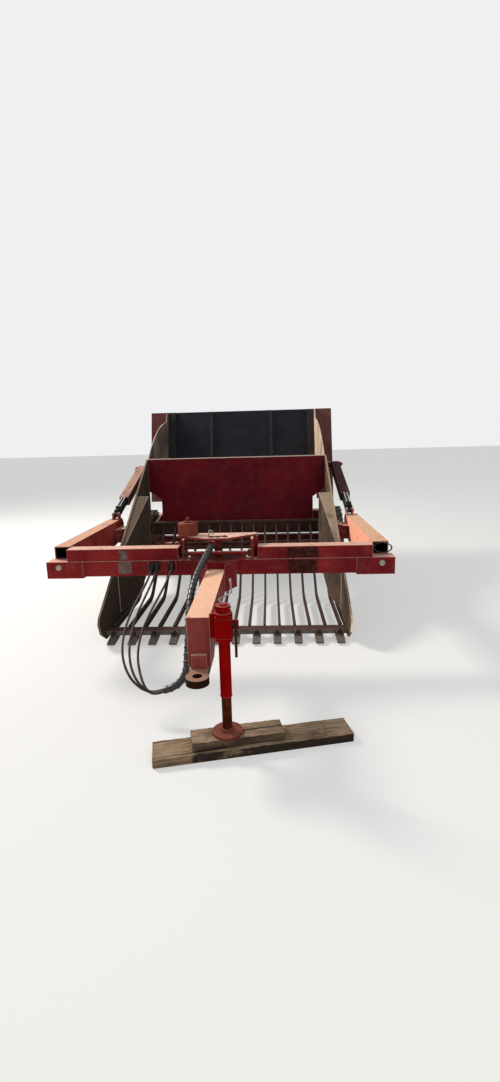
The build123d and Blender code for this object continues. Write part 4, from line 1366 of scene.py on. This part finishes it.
@dataclass
class Jack:
    """Collar, hanging pin, crank, clip and foot plate of the parking jack.

    Attributes:
        palette: Finishes.
        x: X of the jack.
        y: Distance of the jack behind the beam's face.
        tube_r: Radius of the outer tube.
        top: Height of the tube's top.
        bottom: Height of its lower end.
        bolt_angles: Places of the collar's bolts round the tube.
        crank_r: Radius of the crank's rod.
        foot_r: Radius of the foot plate.
    """

    palette: Palette
    x: float = 0.135
    y: float = -1.080
    tube_r: float = 0.030
    top: float = 0.772
    bottom: float = 0.302
    bolt_angles: tuple[float, ...] = (0.6, 2.7, 4.8)
    crank_r: float = 0.0044
    foot_r: float = 0.0806

    def by(self, x: float, y: float, z: float) -> Vector:
        """Point from its distance to the jack's middle in X and Y, and its height."""
        return at(self.x + x, self.y + y, z)

    def build(self) -> None:
        """Make the small pieces of the jack."""
        self.collar()
        self.pin()
        self.crank()
        self.foot()

    def collar(self) -> None:
        """Collar, cap, bolts, welds to the bracket and the tube's lower ring."""
        piece = Workpiece("jack_collar")
        piece.rod(self.by(0, 0, self.top - 0.030), self.by(0, 0, self.top - 0.012), 0.045, 32, bevel=0.003)
        piece.rod(self.by(0, 0, self.top + 0.026), self.by(0, 0, self.top + 0.034), 0.022, 24, bevel=0.002)
        for angle in self.bolt_angles:
            out = Vector((math.cos(angle), math.sin(angle), 0))
            piece.bolt(self.by(0, 0, self.top + 0.008) + out * 0.039, out, 0.006, False)
        for z in (0.626, 0.728):
            piece.weld(self.by(-0.040, -0.031, z), self.by(0.040, -0.031, z), 0.004)
        piece.ring(self.by(0, 0, self.bottom + 0.006), UP, self.tube_r - 0.001, 0.003, 32)
        piece.done(Body.DRAWBAR, self.palette.jack, "red")

    def pin(self) -> None:
        """Pin that hangs beside the tube, with its ring and the stub that holds it."""
        piece = Workpiece("jack_pin")
        piece.rod(self.by(0.062, -0.013, 0.702), self.by(0.060, -0.013, 0.524), 0.0070, 14, bevel=0.001)
        piece.ring(self.by(0.062, -0.010, 0.698), Vector((1, 0.3, 0)), 0.013, 0.0025, 20)
        piece.rod(self.by(0.050, -0.016, 0.696), self.by(0.050, 0.016, 0.696), 0.009, 14, bevel=0.001)
        piece.done(Body.DRAWBAR, self.palette.rust, "rust")

    def crank(self) -> None:
        """Bent rod of the crank with its grip, and the clip below it."""
        piece = Workpiece("crank_rod")
        bends = [self.by(x, y, self.top + z) for x, y, z in (
            (0, 0, 0.030), (-0.020, 0.004, 0.053), (0.044, 0.010, 0.087), (0.039, 0.012, 0.157))]
        piece.wire(bends, self.crank_r, 14)
        piece.rod(bends[-1] - UP * 0.012, bends[-1], 0.0062, 14, bevel=0.001)
        piece.done(Body.DRAWBAR, self.palette.pin, "worn", replaces=("jack_crank",))
        clip = Workpiece("jack_clip")
        clip.ring(self.by(0.031, -0.018, self.top + 0.020), Vector((0.3, -1, 0.2)), 0.010, 0.0022, 20)
        clip.done(Body.DRAWBAR, self.palette.pin, "worn")

    def foot(self) -> None:
        """Round foot plate and the cone that carries the leg."""
        piece = Workpiece("foot_plate")
        piece.rod(self.by(0, 0, 0.0978), self.by(0, 0, 0.1100), self.foot_r, 48, bevel=0.0015)
        piece.rod(self.by(0, 0, 0.1095), self.by(0, 0, 0.1260), 0.0430, 32, 0.0315)
        piece.done(Body.JACK_LEG, self.palette.foot, "red")


@dataclass
class LiftRams:
    """Glands, pipes, pin heads and guard cuffs of both lift rams.

    Attributes:
        palette: Finishes.
        x: X of the rams.
        low: Lower pin, distance behind the beam's face and height.
        high: Upper pin, the same way.
        ports: X of the two pipes from the ram's middle.
    """

    palette: Palette
    x: float = 1.142
    low: tuple[float, float] = (1.380, 0.905)
    high: tuple[float, float] = (2.550, 1.290)
    ports: tuple[float, float] = (-0.014, 0.014)

    @property
    def along(self) -> Vector:
        """Direction of both rams, from the lower pin to the upper one."""
        return Vector((0, self.high[0] - self.low[0], self.high[1] - self.low[1])).normalized()

    @property
    def over(self) -> Vector:
        """Direction square to the rams, upwards."""
        return Vector((0, -self.along.z, self.along.y))

    def start(self, side: Side) -> Vector:
        """Middle of a ram's lower pin."""
        return at(side.value * self.x, *self.low)

    def build(self) -> None:
        """Make the pieces of both rams."""
        for side in Side:
            self.gland(side)
            self.pipes(side)
            self.pins(side)
        for side in Side:
            self.cuff(side)

    def gland(self, side: Side) -> None:
        """Rings, jacket and ports of one barrel.

        Args:
            side: Side of the machine.
        """
        piece = Workpiece(f"ram_fittings_{side.label}")
        start, along, over = self.start(side), self.along, self.over
        for reach in (0.055, 0.292):
            piece.rod(start + along * reach, start + along * (reach + 0.022), 0.0400, 32, bevel=0.002)
        piece.rod(start + along * 0.078, start + along * 0.290, 0.0385, 32, bevel=0.003)
        for offset in self.ports:
            port = start + along * 0.088 + over * 0.036 + aside(offset)
            piece.rod(port, port + over * 0.016, 0.011, HEXAGON, bevel=0.001)
        piece.done(side.body("lift_barrel"), self.palette.black, "black")

    def pipes(self, side: Side) -> None:
        """Two pipes along one barrel, with a nut near each end.

        Args:
            side: Side of the machine.
        """
        piece = Workpiece(f"ram_pipes_{side.label}")
        for offset in self.ports:
            base = self.start(side) + self.over * 0.0450 + aside(offset)
            piece.rod(base + self.along * 0.085, base + self.along * 0.306, 0.0052, 12)
            for reach in (0.10, 0.286):
                piece.rod(base + self.along * reach, base + self.along * (reach + 0.016), 0.0085, HEXAGON,
                          bevel=0.001)
        piece.done(side.body("lift_barrel"), self.palette.bright, "bright")

    def pins(self, side: Side) -> None:
        """Heads of the lower pin, and the head of the upper one with its nut.

        Args:
            side: Side of the machine.
        """
        lower = Workpiece(f"ram_pin_{side.label}")
        for end in (-1, 1):
            face = self.start(side) + aside(end * 0.034)
            lower.rod(face, face + aside(end * 0.005), 0.021, 20, bevel=0.001)
        lower.done(Body.FRAME, self.palette.worn, "worn")
        upper = Workpiece(f"lift_pin_head_{side.label}")
        face = at(side.value * (self.x + 0.052), *self.high)
        upper.rod(face, face + aside(side.value * 0.030), 0.026, 24, bevel=0.003)
        upper.rod(face + aside(side.value * 0.028), face + aside(side.value * 0.042), 0.014, HEXAGON,
                  bevel=0.0015)
        upper.done(Body.BUCKET, self.palette.chassis, "red")

    def cuff(self, side: Side) -> None:
        """Square cuff of four rods at the lower end of one guard.

        Args:
            side: Side of the machine.
        """
        piece = Workpiece(f"guard_cuff_{side.label}")
        near = self.start(side) + self.along * 0.322
        for one, other in ((ACROSS, self.over), (self.over, ACROSS)):
            for sign in (-1, 1):
                middle = near + one * sign * 0.0435
                piece.rod(middle - other * 0.0475, middle + other * 0.0475, 0.0045, 8)
        piece.done(side.body("lift_guard"), self.palette.worn, "worn")


@dataclass
class Teeth:
    """Bolts and worn caps of the teeth on the scoop's toe bar.

    Attributes:
        palette: Finishes.
        count: Number of teeth.
        pitch: Distance between teeth.
        width: Width of a tooth.
        bar_face: Distance of the toe bar's front face behind the beam's.
    """

    palette: Palette
    count: int = 12
    pitch: float = 0.167
    width: float = 0.063
    bar_face: float = 0.365

    def places(self) -> list[float]:
        """X of each tooth's middle."""
        return [(index - (self.count - 1) / 2) * self.pitch for index in range(self.count)]

    def build(self) -> None:
        """Make the bolts, and the caps with a ridge along each side."""
        bolts = Workpiece("tooth_bolts")
        for x in self.places():
            bolts.bolt(at(x, self.bar_face - 0.008, 0.0755), Vector((0, -1, 0.1)), 0.0125)
        bolts.done(Body.BUCKET, self.palette.rust, "worn")
        caps = Workpiece("tooth_caps")
        half = self.width / 2
        for x in self.places():
            caps.block(at(x - half, self.bar_face - 0.009, 0.0530),
                       at(x + half, self.bar_face + 0.001, 0.0895), 0.002)
            for edge in (-1, 1):
                ridge = x + edge * (half - 0.003)
                caps.block(at(ridge - 0.0035, self.bar_face - 0.013, 0.0500),
                           at(ridge + 0.0035, self.bar_face - 0.007, 0.0910), 0.001)
        caps.done(Body.BUCKET, self.palette.worn, "worn")


@dataclass
class Planks:
    """Two weathered planks under the jack, with ragged upper edges and ends.

    Attributes:
        palette: Finishes.
        turn: Angle of both planks from X.
        cuts: Number of stretches along a plank.
        ragged: How far in from an edge the wood is worn.
    """

    palette: Palette
    turn: float = PLANK_ANGLE
    cuts: int = 40
    ragged: float = 0.012

    def plank(self, name: str, node: str, size: Vector, centre: Vector, seed: int) -> None:
        """Make one plank.

        Args:
            name: Name of the piece.
            node: CAD node that it stands for.
            size: Length, width and thickness.
            centre: Its middle.
            seed: Seed of its chips.
        """
        piece = Workpiece(name)
        rng = random.Random(seed)
        bmesh.ops.create_cube(piece.mesh, size=1, matrix=Matrix.Diagonal((*size, 1)))
        piece.bevel(piece.mesh.edges[:], 0.004)
        for index in range(1, self.cuts):
            x = -size.x / 2 + size.x * index / self.cuts
            everything = piece.mesh.verts[:] + piece.mesh.edges[:] + piece.mesh.faces[:]
            bmesh.ops.bisect_plane(piece.mesh, geom=everything, plane_co=(x, 0, 0), plane_no=ACROSS)
        for vert in piece.mesh.verts:
            if abs(vert.co.y) > size.y / 2 - self.ragged and vert.co.z > size.z / 2 - self.ragged:
                vert.co.z -= rng.uniform(0, 0.004)
                vert.co.y *= 1 - rng.uniform(0, 0.012)
            if abs(vert.co.x) > size.x / 2 - 0.006:
                vert.co.x *= 1 - rng.uniform(0, 0.006)
        matrix = Matrix.Translation(centre) @ Matrix.Rotation(self.turn, 4, "Z")
        bmesh.ops.transform(piece.mesh, matrix=matrix, verts=piece.mesh.verts)
        piece.done(Body.FRAME, self.palette.plank, "wood", 30, replaces=(node,))

    def build(self) -> None:
        """Make both planks."""
        self.plank("plank_long", "plank_lower", Vector((PLANK_LENGTH, PLANK_WIDTH, 0.050)),
                   at(0.270, -PLANK_AHEAD, 0.025), 3)
        self.plank("plank_short", "plank_upper", Vector((0.490, 0.130, 0.047)), at(0.185, -1.069, 0.0735), 5)


@dataclass
class Coats:
    """Finishes of the pieces that keep their own shape.

    Attributes:
        palette: Finishes.
    """

    palette: Palette

    def table(self) -> dict[str, bpy.types.Material]:
        """List the finishes.

        Returns:
            Material by node, or by the stem that the nodes of both sides share.
        """
        p = self.palette
        return {
            "beam_lower": p.beam,
            "beam_upper": p.beam,
            "beam_pins": p.pin,
            "arm_left": p.arm_left,
            "arm_right": p.arm_right,
            "turret": p.turret,
            "oil_pot": p.pot,
            "drawbar": p.drawbar,
            "drawbar_head": p.head,
            "tow_eye": p.eye,
            "jack_tube": p.jack,
            "jack_leg": p.leg,
            "side_plates": p.chassis,
            "axle": p.chassis,
            "axle_stubs": p.worn,
            "cross_member": p.chassis,
            "rim": p.post,
            "scoop_side": p.scoop,
            "funnels": p.scoop,
            "bars": p.rust,
            "toe_bar": p.toe,
            "cross_tube": p.rust,
            "teeth": p.worn,
            "front_plate": p.plate,
            "hopper": p.hopper,
            "back_wall": p.wall,
            "wall_ribs": p.wall_rib,
            "posts": p.post,
            "tip_lugs": p.chassis,
            "lift_bosses": p.chassis,
            "lift_barrel": p.black,
            "lift_guard": p.guard,
            "lift_guard_right": p.guard_shade,
            "lift_rod": p.bright,
            "hose_sockets": p.black}

    def build(self) -> None:
        """Put the finishes on the nodes."""
        table = self.table()
        for node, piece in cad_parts.items():
            stem = node.removesuffix("_left").removesuffix("_right")
            coat = table.get(node) or table.get(stem)
            if coat:
                piece.data.materials.clear()
                piece.data.materials.append(coat)
                LOG.info("%s: %s", node, coat.name)


@dataclass
class Studio:
    """Pale floor, soft lamps and the camera at the photograph's angle.

    Attributes:
        camera_x: X of the camera.
        camera_back: Distance of the camera ahead of the beam's face.
        camera_z: Height of the camera.
        yaw: Turn to the left, in radians.
        pitch: Tilt down, in radians.
        roll: Roll of the frame, in radians.
        lens: Focal length for a 36 mm sensor along the long side.
        floor_glow: Share of plain brightness in the floor as the camera sees it.
    """

    camera_x: float = 0.38369
    camera_back: float = 3.45258
    camera_z: float = 1.60422
    yaw: float = 0.044086
    pitch: float = 0.200951
    roll: float = 0.026761
    lens: float = 16.636
    floor_glow: float = 0.5

    def camera(self) -> None:
        """Set up the camera."""
        data = bpy.data.cameras.new("camera")
        data.lens = self.lens
        data.sensor_width = 36
        data.sensor_fit = "AUTO"
        data.clip_end = 200
        camera = placed("camera", data)
        sin_yaw, cos_yaw = math.sin(self.yaw), math.cos(self.yaw)
        sin_pitch, cos_pitch = math.sin(self.pitch), math.cos(self.pitch)
        sin_roll, cos_roll = math.sin(self.roll), math.cos(self.roll)
        right = Vector((cos_yaw, sin_yaw, 0))
        down = Vector((sin_pitch * sin_yaw, -sin_pitch * cos_yaw, -cos_pitch))
        ahead = Vector((-cos_pitch * sin_yaw, cos_pitch * cos_yaw, -sin_pitch))
        axes = (right * cos_roll + down * sin_roll, -(down * cos_roll - right * sin_roll), -ahead)
        matrix = Matrix([[axis[row] for axis in axes] for row in range(3)]).to_4x4()
        matrix.translation = at(self.camera_x, -self.camera_back, self.camera_z)
        camera.matrix_world = matrix
        bpy.context.scene.camera = camera

    def floor(self) -> None:
        """Lay the floor."""
        mesh = bmesh.new()
        bmesh.ops.create_grid(mesh, x_segments=1, y_segments=1, size=60)
        data = bpy.data.meshes.new("floor")
        mesh.to_mesh(data)
        mesh.free()
        floor = placed("floor", data)
        recipe = Recipe("floor_white", 0.9)
        recipe.shader.inputs["Base Color"].default_value = (0.80, 0.79, 0.77, 1)
        pale = recipe.add("ShaderNodeEmission")
        pale.inputs["Color"].default_value = (0.84, 0.84, 0.83, 1)
        seen = recipe.times(recipe.add("ShaderNodeLightPath").outputs["Is Camera Ray"], self.floor_glow)
        mixed = recipe.add("ShaderNodeMixShader")
        recipe.link(seen, mixed.inputs["Fac"])
        recipe.link(recipe.shader.outputs["BSDF"], mixed.inputs[1])
        recipe.link(pale.outputs["Emission"], mixed.inputs[2])
        recipe.link(mixed.outputs["Shader"], recipe.nodes["Material Output"].inputs["Surface"])
        data.materials.append(recipe.material)

    def lamp(self, name: str, place: Vector, aim: Vector, size: float, power: float, colour: Colour) -> None:
        """Hang one soft lamp.

        Args:
            name: Name of the lamp.
            place: Where it hangs.
            aim: Point that it faces.
            size: Length of its square side.
            power: Power in watts.
            colour: Colour of its light.
        """
        data = bpy.data.lights.new(name, "AREA")
        data.size = size
        data.energy = power
        data.color = colour
        lamp = placed(name, data)
        lamp.location = place
        lamp.rotation_euler = (aim - place).to_track_quat("-Z", "Y").to_euler()

    def world(self) -> None:
        """Light the surroundings evenly, with a pale background."""
        world = bpy.data.worlds.new("studio")
        bpy.context.scene.world = world
        world.use_nodes = True
        nodes, links = world.node_tree.nodes, world.node_tree.links
        glow = nodes["Background"]
        glow.inputs["Color"].default_value = (0.95, 0.97, 1.0, 1)
        glow.inputs["Strength"].default_value = 0.55
        shown = nodes.new("ShaderNodeBackground")
        shown.inputs["Color"].default_value = (0.86, 0.87, 0.88, 1)
        rays = nodes.new("ShaderNodeLightPath")
        either = nodes.new("ShaderNodeMath")
        either.operation = "MAXIMUM"
        links.new(rays.outputs["Is Camera Ray"], either.inputs[0])
        links.new(rays.outputs["Is Glossy Ray"], either.inputs[1])
        mix = nodes.new("ShaderNodeMixShader")
        links.new(either.outputs["Value"], mix.inputs["Fac"])
        links.new(glow.outputs["Background"], mix.inputs[1])
        links.new(shown.outputs["Background"], mix.inputs[2])
        links.new(mix.outputs["Shader"], nodes["World Output"].inputs["Surface"])

    def build(self) -> None:
        """Set up the whole studio."""
        self.camera()
        self.floor()
        self.world()
        self.lamp("key", at(-6.0, 3.6, 6.4), at(0, 1.2, 0.6), 2.0, 900, (1.0, 0.94, 0.86))
        self.lamp("fill", at(3.5, -5.0, 4.0), at(0, 0.5, 0.6), 4.0, 100, (0.94, 0.97, 1.0))
        bpy.context.scene.view_settings.view_transform = "Standard"


def main() -> None:
    """Build the machine's looks in order."""
    logging.basicConfig(level=logging.INFO, format="%(name)s %(message)s")
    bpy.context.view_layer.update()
    palette = Palette()
    for part in (Coats(palette), Hoses(palette), Wheels(palette), Turret(palette), BeamTrim(palette),
                 Jack(palette), LiftRams(palette), Teeth(palette), Planks(palette), Studio()):
        LOG.info("building %s", type(part).__name__)
        part.build()


if __name__ == "__main__":
    main()
